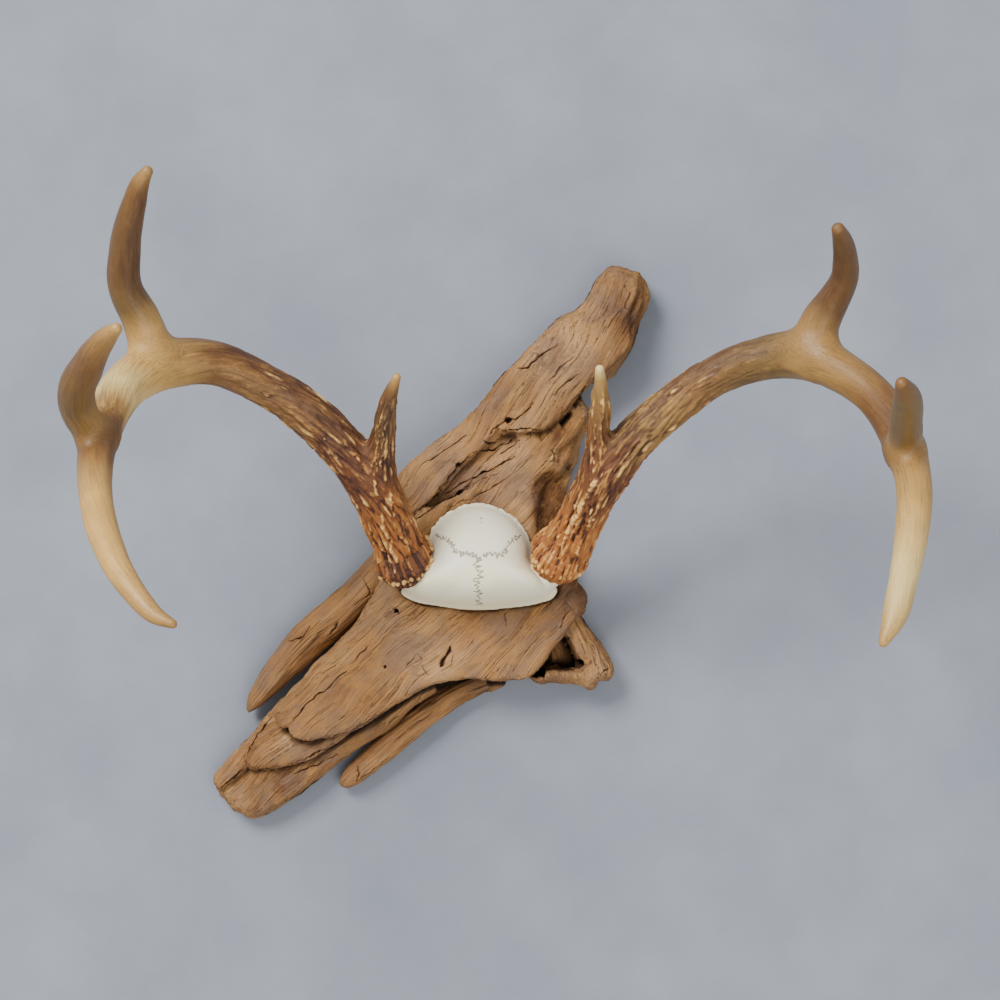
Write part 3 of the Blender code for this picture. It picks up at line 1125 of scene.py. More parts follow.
RIGHT_WELTS = (
    Welt(((77, 54), (70, 40), (62, 25), (55, 12)), 2.6, 2.2, 0.8),
    Welt(((82, 44), (75, 30), (70, 18), (66, 6)), 1.4, 1.3, 0.6),
    Welt(((76, 60), (76, 80), (77, 96)), 1.0, 1.0, 0.7),
    Welt(((80, 62), (80, 82), (80, 100)), 0.9, 0.8, 0.5),
    Welt(((64, 34), (58, 24), (52, 15)), 1.8, -1.4),
    Welt(((74, 38), (68, 24), (63, 12)), 1.8, -1.3),
    Welt(((88, 58), (98, 70), (112, 84)), 1.6, -0.9),
)
RIGHT_BEAM = Branch(
    stations=(
        (54, 1, 54, 15), (55, 4, 57, 18.5), (58, 9, 62, 17), (62, 15, 68, 16), (69, 30, 84, 14.6),
        (75, 43, 98, 15),
        (82, 55, 110, 15), (102, 81, 129, 13.5), (126, 102, 141, 13), (151, 120, 155, 12.6),
        (178, 130, 170, 13.5),
        (205, 132, 187, 15.5), (225, 121, 208, 13), (243, 105, 228, 12), (256, 76, 258, 12),
        (258, 47, 292, 10.5),
        (253, 24, 316, 9.9), (246, 2, 338, 8.5), (235, -29, 358, 6), (230, -38, 363, 3),
    ),
    roughness=BEAM_ROUGHNESS,
    tones=(
        (0.0, Tone.ORANGE), (0.09, Tone.ORANGE), (0.15, Tone.RUST), (0.20, Tone.RUST), (0.25, Tone.TAN),
        (0.34, Tone.BROWN), (0.45, Tone.OLIVE), (0.50, Tone.TAN), (0.58, Tone.TAN), (0.64, Tone.BROWN),
        (0.70, Tone.BROWN), (0.76, Tone.SAND), (0.82, Tone.IVORY), (0.93, Tone.WHITE), (1.0, Tone.SAND),
    ),
    pearls=200,
    stain=(
        (0.0, 0.2), (0.15, 0.5), (0.22, 0.8), (0.42, 0.6), (0.50, 0.2), (0.62, 0.3), (0.69, 0.7), (0.75, 0.2),
        (1.0, 0.0),
    ),
    top=(-0.3, 0.85, 0.4),
)
RIGHT_TINES = {
    "brow_tine": Branch(
        stations=(
            (81, 49, 103, 8.5), (78, 61, 115, 8.5), (78, 74, 126, 7.7), (78, 86, 136, 7), (79, 101, 148, 6.5),
            (79, 113, 158, 4.6), (78, 124, 169, 2.8),
        ),
        roughness=((0.0, 1.0), (0.5, 0.9), (0.75, 0.4), (0.9, 0.1), (1.0, 0.0)),
        tones=(
            (0.0, Tone.RUST), (0.35, Tone.RUST), (0.62, Tone.BROWN), (0.84, Tone.TAN), (0.93, Tone.SAND),
            (1.0, Tone.WHITE),
        ),
        pearls=60, pearl_reach=0.75, stain=((0.0, 0.2), (0.4, 0.5), (0.75, 0.6), (0.9, 0.0), (1.0, 0.0)),
    ),
    "g2_tine": Branch(
        stations=(
            (206, 127, 187, 12.5), (209, 136, 192, 13.5), (214, 152, 198, 12.3), (221, 165, 207, 10.1),
            (226, 177, 219, 8.6), (225, 188, 233, 7.6), (221, 198, 249, 6), (217, 203, 262, 4),
        ),
        roughness=G2_ROUGHNESS,
        tones=(
            (0.0, Tone.TAN), (0.2, Tone.TAN), (0.38, Tone.UMBER), (0.7, Tone.UMBER), (0.92, Tone.UMBER),
            (1.0, Tone.BROWN),
        ),
        stain=G2_STAIN, top=(-0.8, 0.4, 0.5),
    ),
    "g3_tine": Branch(
        stations=(
            (256, 70, 262, 9.5), (255, 77, 275, 10), (252, 88, 300, 9.6), (249, 99, 325, 8.5),
            (245, 104, 342, 6),
            (242, 107, 352, 4),
        ),
        roughness=G3_ROUGHNESS,
        tones=(
            (0.0, Tone.BROWN), (0.15, Tone.TAN), (0.35, Tone.OLIVE), (0.8, Tone.OLIVE), (1.0, Tone.BROWN),
        ),
        stain=G3_STAIN, top=(0.2, 0.8, 0.6),
    ),
}


# ---------------------------------------------------------------- driftwood


def sampled(grid: np.ndarray, at: np.ndarray) -> np.ndarray:
    """Reads a grid between its cells.

    Args:
        grid: The values.
        at: Places in cells, in two columns.

    Returns:
        The value at each place.
    """
    at = np.clip(at, 0, np.array(grid.shape) - 1.001)
    cell = at.astype(int)
    part = at - cell
    total = np.zeros(len(at))
    for corner in np.ndindex(2, 2):
        weight = np.prod(np.where(corner, part, 1 - part), axis=1)
        total += weight * grid[cell[:, 0] + corner[0], cell[:, 1] + corner[1]]
    return total


class Outline:
    """A closed outline seen from the front, with its signed distances kept on a grid."""

    SPACING: ClassVar[float] = 4 * MM
    STEP: ClassVar[float] = 1.5 * MM
    MARGIN: ClassVar[float] = 24 * MM

    def __init__(self, points: Points) -> None:
        """Takes points in millimetres and rounds the line through them.

        Args:
            points: The outline's points, in order.
        """
        self.line = rounded_outline(points, self.SPACING)
        self.low = self.line.min(0) - self.MARGIN
        counts = np.ceil((self.line.max(0) + self.MARGIN - self.low) / self.STEP).astype(int) + 1
        across = self.low[0] + self.STEP * np.arange(counts[0])
        up = self.low[1] + self.STEP * np.arange(counts[1])
        grid = np.stack(np.meshgrid(across, up, indexing="ij"), axis=-1).reshape(-1, 2)
        start, end = self.line, np.roll(self.line, -1, axis=0)
        inside = np.zeros(len(grid), bool)
        for (x1, y1), (x2, y2) in zip(start, end):
            crosses = (y1 > grid[:, 1]) != (y2 > grid[:, 1])
            inside ^= crosses & (grid[:, 0] < (x2 - x1) * (grid[:, 1] - y1) / (y2 - y1 + 1e-12) + x1)
        apart, _ = to_line(grid, np.concatenate([self.line, self.line[:1]]))
        self.grid = np.where(inside, -apart, apart).reshape(counts)

    def distance(self, places: np.ndarray) -> np.ndarray:
        """How far places lie outside the outline, less than 0 inside."""
        return sampled(self.grid, (places[:, :2] - self.low) / self.STEP)


def corner(side: np.ndarray, front: np.ndarray, rounding: float) -> np.ndarray:
    """Distance to a rounded corner between two faces.

    Args:
        side: The distance to one face.
        front: The distance to the other.
        rounding: The corner's radius.

    Returns:
        The distance, less than 0 inside.
    """
    first, second = side + rounding, front + rounding
    outside = np.hypot(np.maximum(first, 0), np.maximum(second, 0))
    return np.minimum(np.maximum(first, second), 0) + outside - rounding


def settled(points: np.ndarray, gap: Reader, rounds: int) -> np.ndarray:
    """Moves points on to the surface where a gap is nothing.

    Args:
        points: The points, near the surface.
        gap: Gives points' distance to it.
        rounds: How often they are moved.

    Returns:
        The moved points.
    """
    step = 0.4 * MM
    for _ in range(rounds):
        here = gap(points)
        slope = np.stack([(gap(points + step * axis) - here) / step for axis in np.eye(3)], axis=1)
        points = points - slope * (here / np.maximum((slope**2).sum(1), 0.25))[:, None]
    return points


@dataclass(frozen=True)
class Relief:
    """An area of a layer's front that stands proud, or lies deep."""

    outline: Points
    rise: float
    edge: float = 3.0


@dataclass(frozen=True)
class Slab:
    """A layer of wood: its outline, its back and front, its rounding and its relief, in millimetres."""

    outline: Points
    back: float
    front: float
    rounding: float
    back_rounding: float = 4.0
    reliefs: tuple[Relief, ...] = ()


class Layer:
    """A slab made ready to measure points against."""

    def __init__(self, slab: Slab) -> None:
        """Works out its outlines.

        Args:
            slab: The slab.
        """
        self.slab = slab
        self.outline = Outline(slab.outline)
        self.reliefs = [(relief, Outline(relief.outline)) for relief in slab.reliefs]

    def add_to(self, bm: bmesh.types.BMesh) -> None:
        """Adds the slab as a plain block.

        Args:
            bm: The bmesh.
        """
        verts = [bm.verts.new((x, y, self.slab.back * MM)) for x, y in self.outline.line]
        face = bm.faces.new(verts)
        grown = bmesh.ops.extrude_face_region(bm, geom=[face])["geom"]
        top = [item for item in grown if isinstance(item, bmesh.types.BMVert)]
        bmesh.ops.translate(bm, verts=top, vec=(0, 0, (self.slab.front - self.slab.back) * MM))

    def gap(self, points: np.ndarray) -> np.ndarray:
        """Distance to the rounded slab, with its relief.

        Args:
            points: The points.

        Returns:
            The distance, less than 0 inside.
        """
        front = np.full(len(points), self.slab.front * MM)
        for relief, outline in self.reliefs:
            inside = 1 - eased(outline.distance(points), -relief.edge * MM, 0)
            front += relief.rise * MM * inside
        side = self.outline.distance(points)
        before = corner(side, points[:, 2] - front, self.slab.rounding * MM)
        behind = corner(side, self.slab.back * MM - points[:, 2], self.slab.back_rounding * MM)
        return np.maximum(before, behind)


@dataclass(frozen=True)
class Crack:
    """A split in the wood's front: its line, half its width and its depth, in millimetres."""

    line: Points
    width: float = 0.9
    depth: float = 2.5


@dataclass(frozen=True)
class WoodFinish:
    """Bare driftwood, worn by water: matt, fibrous, tan and greyish mauve, with painted shade in its hollows
    and cracks.
    """

    pale: Colour = srgb(0.73, 0.57, 0.39)
    tan: Colour = srgb(0.60, 0.44, 0.28)
    brown: Colour = srgb(0.41, 0.27, 0.16)
    mauve: Colour = srgb(0.48, 0.38, 0.31)
    ochre: Colour = srgb(0.66, 0.47, 0.26)
    black: Colour = srgb(0.07, 0.04, 0.025)
    dark: Colour = srgb(0.27, 0.17, 0.10)

    def material(self, name: str) -> bpy.types.Material:
        """Builds the material.

        Args:
            name: The material's name.

        Returns:
            A material that reads the wood's own attributes.
        """
        graph = Graph(name)
        grain = graph.vector_attribute("grain")
        place = graph.position()
        tone = graph.attribute("tone")
        crack = graph.attribute("crack")
        long = graph.noise(graph.stretched(grain, (0.35, 0.30, 0.30)), 1.0, 4.0, 0.6)
        fibre = graph.noise(grain, 1.0, 4.0, 0.65)
        hair = graph.noise(graph.stretched(grain, (0.6, 3.2, 3.2)), 1.0, 2.0, 0.6)
        broad = graph.noise(place, 28.0, 4.0, 0.6)
        speck = graph.noise(place, 900.0, 2.0, 0.6)
        level = (0.85 * long + 0.55 * fibre + 0.35 * hair + 0.9 * tone - 0.85).clamped()
        colour = graph.ramp(level, [(0.08, self.brown), (0.42, self.tan), (0.80, self.pale)])
        ochre = graph.noise(place, 41.0, 4.0, 0.65) + 0.4 * (long - 0.5)
        colour = graph.mix(colour, self.ochre, ochre.between(0.46, 0.66) * 0.65)
        colour = graph.mix(colour, self.mauve, (broad + 0.5 * (fibre - 0.5)).between(0.46, 0.64) * 0.7)
        splits = graph.noise(graph.stretched(grain, (0.20, 0.8, 0.8)), 1.0, 3.0, 0.6)
        split = 1 - graph.math("ABSOLUTE", splits - 0.5).between(0.0, 0.022)
        split = split * long.between(0.44, 0.58)
        colour = graph.mix(colour, self.dark, split * 0.9)
        colour = graph.mix(colour, self.dark, (1 - hair.between(0.22, 0.44)) * 0.7)
        # Painted shade: the wood turns dark, then black, where it lies below what stands around it.
        shade = graph.attribute("shade")
        colour = graph.mix(colour, self.dark, shade.between(0.05, 0.60) * 0.85)
        colour = graph.mix(colour, self.black, shade.between(0.50, 1.0) * 0.85)
        # Cracks turn dark, then black: their own dark plus painted shade, which also fills holes and the gap
        # under the overhang.
        colour = graph.mix(colour, self.dark, crack.between(0.10, 0.75) * 0.85)
        colour = graph.mix(colour, self.black, crack.between(0.60, 1.0) * 0.9)
        colour = graph.mottled(colour, 0.76 + 0.48 * speck, 0.8)
        graph.set(Base_Color=colour, Roughness=(0.72 + 0.25 * (1 - level)).clamped())
        height = fibre * 0.55 + hair * 0.4 + speck * 0.15 - split * 0.6
        graph.set(Normal=graph.bump(height, 1.2 * MM))
        graph.set(Specular_IOR_Level=0.25)
        return graph.material


class Grain:
    """The way the fibres run through the log, along a bent spine."""

    def __init__(self, spine: Points) -> None:
        """Takes the spine's points in millimetres.

        Args:
            spine: The spine's points.
        """
        self.line = smooth_line(np.array(spine, float) * MM, 4 * MM)
        self.tangents = unit(np.gradient(self.line, axis=0))
        self.along = passed(self.line)

    def read(self, points: np.ndarray) -> np.ndarray:
        """Gives each point's place along the fibres, across them and in depth.

        Args:
            points: The points.

        Returns:
            One row of three lengths for each point.
        """
        index = np.empty(len(points), np.int64)
        for start in range(0, len(points), ROWS_AT_ONCE):
            some = points[start : start + ROWS_AT_ONCE, None, :2] - self.line
            index[start : start + ROWS_AT_ONCE] = (some**2).sum(-1).argmin(1)
        offset = points[:, :2] - self.line[index]
        tangent = self.tangents[index]
        along = self.along[index] + (offset * tangent).sum(1)
        across = offset[:, 0] * tangent[:, 1] - offset[:, 1] * tangent[:, 0]
        across += 5 * MM * Noise(3).layered(points / (55 * MM), 2)
        return np.stack([along, across, points[:, 2]], axis=1)


@dataclass
class Wood:
    """A piece of driftwood whose fibres, cracks and holes are carved into its surface."""

    seed: int
    finish: WoodFinish = field(default_factory=WoodFinish)
    fibre_length: float = 30 * MM
    fibre_width: float = 2.4 * MM
    fibre_depth: float = 0.7 * MM
    swell: float = 1.0 * MM
    ledge: float = 2.0 * MM
    ragged: float = 1.1 * MM
    fine: float = 2.2 * MM
    # How far below its surroundings the wood must lie to be painted fully in shade.
    painted_shade_depth: float = 6 * MM
    crack_reach: float = 6 * MM
    uneven_above: float = 12 * MM
    most: int = 190_000

    def carve(
        self, piece: Piece, flow: Reader, cracks: Sequence[Crack],
        tone: Reader, rugged: Reader,
    ) -> None:
        """Carves the surface and stores what the finish reads.

        Args:
            piece: The smooth piece.
            flow: Gives points' places along, across and into the fibres.
            cracks: Its splits.
            tone: Gives how pale the wood is, about 0 to 1.
            rugged: Gives how broken its surface is, 0 to 1.
        """
        for reach in (self.fine, self.fine / 2):
            if cracks:
                piece.refine(self._cuts(piece.points, cracks)[0] < reach)
        points, normals = piece.points, piece.normals
        grain = flow(points)
        stretch = np.array([1 / self.fibre_length, 1 / self.fibre_width, 1 / self.fibre_width])
        fibres = Noise(self.seed).layered(grain * stretch, 3)
        swells = Noise(self.seed + 1).layered(grain * stretch * (0.5, 0.16, 0.16), 2)
        steps = 3 * Noise(self.seed + 4).layered(grain * stretch * (0.45, 0.22, 0.22), 3)
        ledges = (np.floor(steps) + eased(steps - np.floor(steps), 0.0, 0.3)) / 3
        height = self.fibre_depth * (0.6 - 1.6 * np.abs(fibres)) + self.swell * swells
        height += self.ledge * ledges * rugged(points)
        back = eased(-normals[:, 2], 0.3, 0.8) * eased(-points[:, 2], -4 * MM, -1 * MM)
        depth = self._cuts(points, cracks)[1] * eased(normals[:, 2], 0.0, 0.45)
        points = points + normals * (height * (1 - back) - depth)[:, None]
        points[:, 2] = np.maximum(points[:, 2], 0)
        piece.points = points
        piece.thin(self.most)
        points, normals = piece.points, piece.normals
        grain = flow(points)
        swells = Noise(self.seed + 1).layered(grain * stretch * (0.5, 0.16, 0.16), 2)
        piece.store("grain", grain * (1 / (0.75 * self.fibre_length), 1 / (1.5 * MM), 1 / (1.5 * MM)))
        piece.store("crack", self._cuts(points, cracks)[2] * eased(normals[:, 2], -0.05, 0.35))
        # Painted shade where the wood lies below what stands around it, on faces that look forward or
        # sideways.
        piece.store("shade", self._sunk(points) * eased(normals[:, 2], -0.6, 0.2))
        piece.store("tone", tone(points) + 0.18 * swells)

    def _sunk(self, points: np.ndarray) -> np.ndarray:
        """How far points lie below what stands around them, from 0 to 1: the wood is painted in shade there.

        Args:
            points: The points.

        Returns:
            One number for each point.
        """
        cell, spread = 2 * MM, 5
        low = points.min(0) - cell * (spread + 1)
        places = ((points - low) / cell)[:, :2]
        index = places.astype(int)
        heights = np.zeros(index.max(0) + spread + 2)
        np.maximum.at(heights, (index[:, 0], index[:, 1]), points[:, 2])
        window = np.hanning(2 * spread + 3)[1:-1]
        window /= window.sum()
        for axis in (0, 1):
            heights = np.apply_along_axis(np.convolve, axis, heights, window, "same")
        return np.clip((sampled(heights, places - 0.5) - points[:, 2] - 0.8 * MM) / self.painted_shade_depth, 0, 1)

    def _cuts(
        self, points: np.ndarray, cracks: Sequence[Crack]
    ) -> tuple[np.ndarray, np.ndarray, np.ndarray]:
        """Measures points against the cracks.

        Args:
            points: The points.
            cracks: The cracks.

        Returns:
            The distance to the nearest crack, the depth that is carved, and its darkness from 0 to 1, which
            is partly the split's own dark and partly painted shade that grows with its depth.
        """
        wander = Noise(self.seed + 2)
        flat = points * (1, 1, 0)
        places = points[:, :2] + self.ragged * np.stack(
            [wander.layered(flat / (7 * MM) + shift, 3) for shift in (0.0, 40.0)], axis=1
        )
        nearest = np.full(len(points), 1.0)
        carved = np.zeros(len(points))
        dark = np.zeros(len(points))
        for crack in cracks:
            line = np.array(crack.line, float) * MM
            low, high = line.min(0) - self.crack_reach, line.max(0) + self.crack_reach
            close = np.flatnonzero(((places > low) & (places < high)).all(1))
            apart, share = to_line(places[close], line)
            width = crack.width * MM * (0.3 + 0.7 * np.sin(np.pi * np.clip(share, 0.02, 0.98)) ** 0.7)
            if np.linalg.norm(line[-1] - line[0]) > self.uneven_above:
                width *= np.clip(0.72 + 0.8 * wander.layered(flat[close] / (9 * MM) + 70, 2), 0.25, 1.25)
            open_by = 1 - eased(apart, 0.2 * width, 1.35 * width)
            nearest[close] = np.minimum(nearest[close], apart - width)
            carved[close] = np.maximum(carved[close], crack.depth * MM * open_by)
            # Darker the deeper the crack: the split's own dark plus painted shade inside it.
            dark[close] = np.maximum(dark[close], open_by * min(1.0, 0.35 + crack.depth / 4))
        return nearest, carved, dark


@dataclass
class Driftwood:
    """The driftwood that the antlers hang on: a layered log, two prongs, a broken stub and a knob."""

    voxel: float = 1.5 * MM
    round_voxel: float = 1.3 * MM
    blend: float = 1.3 * MM
    finish: WoodFinish = field(default_factory=WoodFinish)

    def build(self) -> None:
        """Builds all five pieces."""
        material = self.finish.material("driftwood")
        shaded_flank = Outline(SHADED_FLANK)
        face = Outline(FRONT_FACE)
        broad = Noise(14)

        def log_tone(points: np.ndarray) -> np.ndarray:
            """Uneven, with painted shade down the right side of the trunk.

            Args:
                points: The points.

            Returns:
                How pale the wood is at each.
            """
            # Painted shade down the trunk's right side, beside the right antler's base.
            dark = 1 - eased(shaded_flank.distance(points), -9 * MM, 3 * MM)
            tone = 0.52 + 0.32 * broad.at(points / (60 * MM)) - 0.78 * dark
            for x, y, radius, change in TONE_AND_SHADE_PATCHES:
                apart = np.hypot(points[:, 0] - x * MM, points[:, 1] - y * MM) / (radius * MM)
                tone += change * np.exp(-(apart**2))
            return tone

        def log_rugged(points: np.ndarray) -> np.ndarray:
            """Smooth on the broad face, broken elsewhere."""
            return 0.22 + 0.78 * eased(face.distance(points), -6 * MM, 4 * MM)

        def stub_tone(points: np.ndarray) -> np.ndarray:
            """Uneven all over."""
            return 0.5 + 0.3 * broad.at(points / (30 * MM))

        def whole(points: np.ndarray) -> np.ndarray:
            """Broken all over."""
            return np.full(len(points), 0.6)

        log_nodes = ("driftwood_trunk", "upper_limb", "layered_lower_end")
        log_piece = self._layered("driftwood_log", LOG)
        Wood(seed=5).carve(log_piece, Grain(SPINE).read, LOG_CRACKS, log_tone, log_rugged)
        log_piece.finish(material, "driftwood", log_nodes)
        stub = self._layered("broken_stub", STUB)
        # The stub reaches full painted shade more slowly, so the torn hole's wall stays pale.
        stub_wood = Wood(seed=15, painted_shade_depth=10 * MM)
        stub_wood.carve(stub, Grain(STUB_SPINE).read, STUB_CRACKS, stub_tone, whole)
        stub.finish(material, "driftwood", ("right_stub",))
        for name, node, stations, wood, cracks, pale in (
            ("left_prong_wood", "left_prong", LEFT_PRONG, Wood(seed=25, ledge=1.2 * MM), PRONG_CRACKS, 0.42),
            ("thin_prong_wood", "thin_prong", THIN_PRONG, Wood(seed=35, swell=0.8 * MM), THIN_CRACKS, 0.42),
            ("knob_wood", "small_knob", KNOB, Wood(seed=45, fibre_width=3 * MM), (), 0.0),
        ):
            self._round(name, stations, wood, cracks, pale).finish(material, "driftwood", (node,))

    def _layered(self, name: str, slabs: Sequence[Slab]) -> Piece:
        """Builds a smooth piece from layers of wood that run into each other.

        Args:
            name: The piece's name.
            slabs: Its layers.

        Returns:
            The piece, uncarved.
        """
        layers = [Layer(slab) for slab in slabs]

        def gap(points: np.ndarray) -> np.ndarray:
            """Distance to the joined layers.

            Args:
                points: The points.

            Returns:
                The distance, less than 0 inside.
            """
            total = layers[0].gap(points)
            for layer in layers[1:]:
                other = layer.gap(points)
                share = np.clip(0.5 + 0.5 * (other - total) / self.blend, 0, 1)
                total = other * (1 - share) + total * share - self.blend * share * (1 - share)
            return total

        bm = bmesh.new()
        for layer in layers:
            layer.add_to(bm)
        piece = Piece(name, bm, merge=False)
        piece.remesh(2 * self.voxel)
        piece.points = settled(piece.points, gap, 3)
        piece.remesh(self.voxel)
        piece.points = settled(piece.points, gap, 2)
        return piece

    def _round(
        self, name: str, stations: Stations, wood: Wood,
        cracks: Sequence[Crack], pale: float,
    ) -> Piece:
        """Builds a round piece along a centreline.

        Args:
            name: The piece's name.
            stations: The centreline's stations in millimetres.
            wood: How the surface is carved.
            cracks: Its splits.
            pale: How pale the wood is, and how broken its surface.

        Returns:
            The carved piece.
        """
        tube = Tube(stations)
        bm = bmesh.new()
        tube.add_to(bm)
        piece = Piece(name, bm)
        piece.remesh(self.round_voxel)
        piece.settle(4)
        radius = float(tube.radii.max())

        def flow(points: np.ndarray) -> np.ndarray:
            """Places along and around the centreline."""
            reading = tube.read(points)
            return np.stack([reading.along, reading.cosine * radius, reading.sine * radius], axis=1)

        def even(points: np.ndarray) -> np.ndarray:
            """One paleness all over."""
            return np.full(len(points), pale)

        wood.carve(piece, flow, cracks, even, even)
        return piece


SPINE = ((-170, -165), (-85, -90), (-20, -28), (22, 20), (58, 72), (90, 125), (125, 185))
STUB_SPINE = ((58, -20), (70, -50), (84, -84))
# (x, y, radius, change) patches of paler or darker tone; the two at x 60 to 62 are painted shade beside the
# right antler's base.
TONE_AND_SHADE_PATCHES = (
    (-130, -125, 7, 0.5), (-148, -160, 18, -0.45), (-125, -150, 14, -0.2), (100, 165, 14, -0.55),
    (55, 88, 9, -0.35),
    (62, 30, 12, -0.5), (60, 0, 12, -0.5),
    (-30, -70, 12, 0.15), (30, 100, 14, 0.12),
)
# Painted shade: the outline of the trunk's right side beside the right antler's base, which is darkened.
SHADED_FLANK = ((36, 58), (52, 62), (62, 50), (63, 10), (68, -20), (66, -38), (50, -20), (40, 10), (34, 36))
FRONT_FACE = (
    (-62, -8), (-72, -28), (-93, -54), (-112, -83), (-126, -104), (-128, -112), (-125, -119), (-117, -122),
    (-106, -121), (-83, -113), (-48, -93), (-33, -85), (-15, -80), (2, -81), (20, -81), (34, -79), (44, -71),
    (51, -60), (58, -52), (67, -35), (66, -8), (15, 4), (-32, 4),
)
TORN_HOLE = ((52, -45), (38, -62), (33, -78), (54, -76), (66, -77), (76, -75), (69, -64), (61, -51))
CAP_SEAT = Relief(
    (
        (-54, -20), (-50, -25), (-42, -28.8), (-25, -32.2), (-12, -34), (0, -34.7), (14, -34), (29, -32.6),
        (43, -30), (51, -27), (56, -19), (45, -4), (0, 6), (-45, -4),
    ),
    -4.0, 1.6,
)
LOG = (
    Slab(
        outline=(
            (-34, 72), (-51, 54), (-61, 35), (-68, 11), (-70, -8), (-68, -26), (-88, -50), (-100, -66),
            (-63, -97),
            (-33, -84), (-15, -79), (20, -80), (34, -78), (44, -70), (51, -59), (58, -50), (66, -38),
            (65, -20),
            (61, 4), (59, 28), (60, 48), (66, 67), (71, 84), (76, 100), (70, 112), (40, 112), (0, 100),
        ),
        back=0.0, front=35.0, rounding=11.0,
        reliefs=(
            Relief(
                ((-47, 31), (-26, 50), (-11, 66), (6, 81), (17, 88), (29, 84), (25, 70), (-2, 52), (-30, 35)),
                -4.0, 2.0,
            ),
            Relief(
                (
                    (20, 94), (36, 96), (47, 97), (56, 104), (62, 113), (70, 121), (76, 123), (73, 114),
                    (68.5, 104), (60, 91), (49, 81), (38, 82), (28, 85),
                ),
                -20.0, 2.0,
            ),
            Relief(((-62, 30), (-50, 55), (-36, 70), (-20, 60), (-42, 36), (-58, 10), (-72, -10)), -5.0, 7.0),
            Relief(((52, 62), (50, 76), (60, 84), (76, 88), (84, 70), (72, 55)), -4.0, 9.0),
            Relief(((57, 59), (59, 67), (65, 71), (71, 66), (66, 58)), -11.0, 4.0),
            Relief(((40, 62), (66, 66), (72, 10), (74, -30), (60, -40), (48, -10), (38, 20)), -8.0, 12.0),
            CAP_SEAT,
        ),
    ),
    Slab(
        outline=(
            (88, 199), (81, 192), (76, 181), (69, 173), (56, 165), (41, 151), (23, 132), (7, 112),
            (-12, 92), (-24, 78),
            (-10, 68), (20, 88), (46, 95), (60, 109), (72, 121), (88, 124), (98, 135), (105, 146), (111, 165),
            (116, 183), (110, 196), (98, 201),
        ),
        back=0.0, front=37.5, rounding=17.0,
    ),
    Slab(
        outline=(
            (-60, 52), (-52, 60), (-30, 80), (-12, 94), (7, 113), (24, 131), (40, 140), (50, 128),
            (40, 112), (30, 102),
            (17, 92), (4, 81), (-12, 66), (-26, 51), (-43, 33), (-52, 24), (-62, 30),
        ),
        back=10.0, front=38.5, rounding=2.6,
    ),
    Slab(
        outline=(
            (27, 101), (18, 93), (15, 89), (25, 87), (36, 88.5), (46, 90), (54, 96), (60, 101), (64, 107),
            (68, 113),
            (78, 123), (88, 130), (104, 150), (100, 170), (76, 160), (52, 134), (38, 116),
        ),
        back=25.0, front=40.5, rounding=1.8, back_rounding=0.8,
    ),
    Slab(outline=FRONT_FACE, back=18.0, front=37.3, rounding=3.2, back_rounding=1.2, reliefs=(CAP_SEAT,)),
    Slab(
        outline=(
            (-62, -20), (-87, -47), (-109, -72), (-131, -94), (-139, -103), (-136, -110), (-128, -113),
            (-119, -104),
            (-107, -90), (-90, -75), (-73, -57), (-53, -33),
        ),
        back=12.0, front=36.0, rounding=4.5,
    ),
    Slab(
        outline=(
            (-103, -65), (-121, -84), (-137, -100), (-147, -110), (-154, -121), (-159, -132), (-155, -141),
            (-143, -142), (-131, -140), (-113, -134), (-98, -125), (-84, -114), (-66, -98), (-60, -80),
        ),
        back=8.0, front=28.0, rounding=3.2,
    ),
    Slab(
        outline=(
            (-118, -82), (-146, -109), (-160, -125), (-174, -141), (-181, -151), (-178, -157), (-168, -151),
            (-158, -142), (-150, -130), (-138, -112), (-126, -100),
        ),
        back=4.0, front=24.0, rounding=6.0,
    ),
    Slab(
        outline=(
            (-158, -138), (-169, -148), (-179, -156), (-177, -162), (-171, -168), (-165, -173), (-155, -176),
            (-146, -174), (-131, -165), (-105, -146), (-82, -129), (-58, -114), (-43, -100), (-26, -90),
            (-39, -74), (-87, -104),
        ),
        back=0.0, front=20.0, rounding=9.0,
    ),
    Slab(
        outline=(
            (-92, -126), (-72, -118), (-56, -112), (-43, -100), (-20, -95), (5, -91), (19, -85),
            (18, -74), (-15, -72),
            (-60, -90), (-100, -118),
        ),
        back=0.0, front=12.0, rounding=5.0,
    ),
)
STUB = (
    Slab(
        outline=(
            (48, -25), (64, -30), (70, -38), (77, -48), (84, -58), (89, -67), (92, -76), (89, -82), (83, -82),
            (78, -88), (72, -85), (64, -84), (53, -83), (40, -83), (36, -78), (44, -66), (48, -45),
        ),
        back=0.0, front=29.5, rounding=8.0, reliefs=(Relief(TORN_HOLE, -24.0, 5.0),),
    ),
)
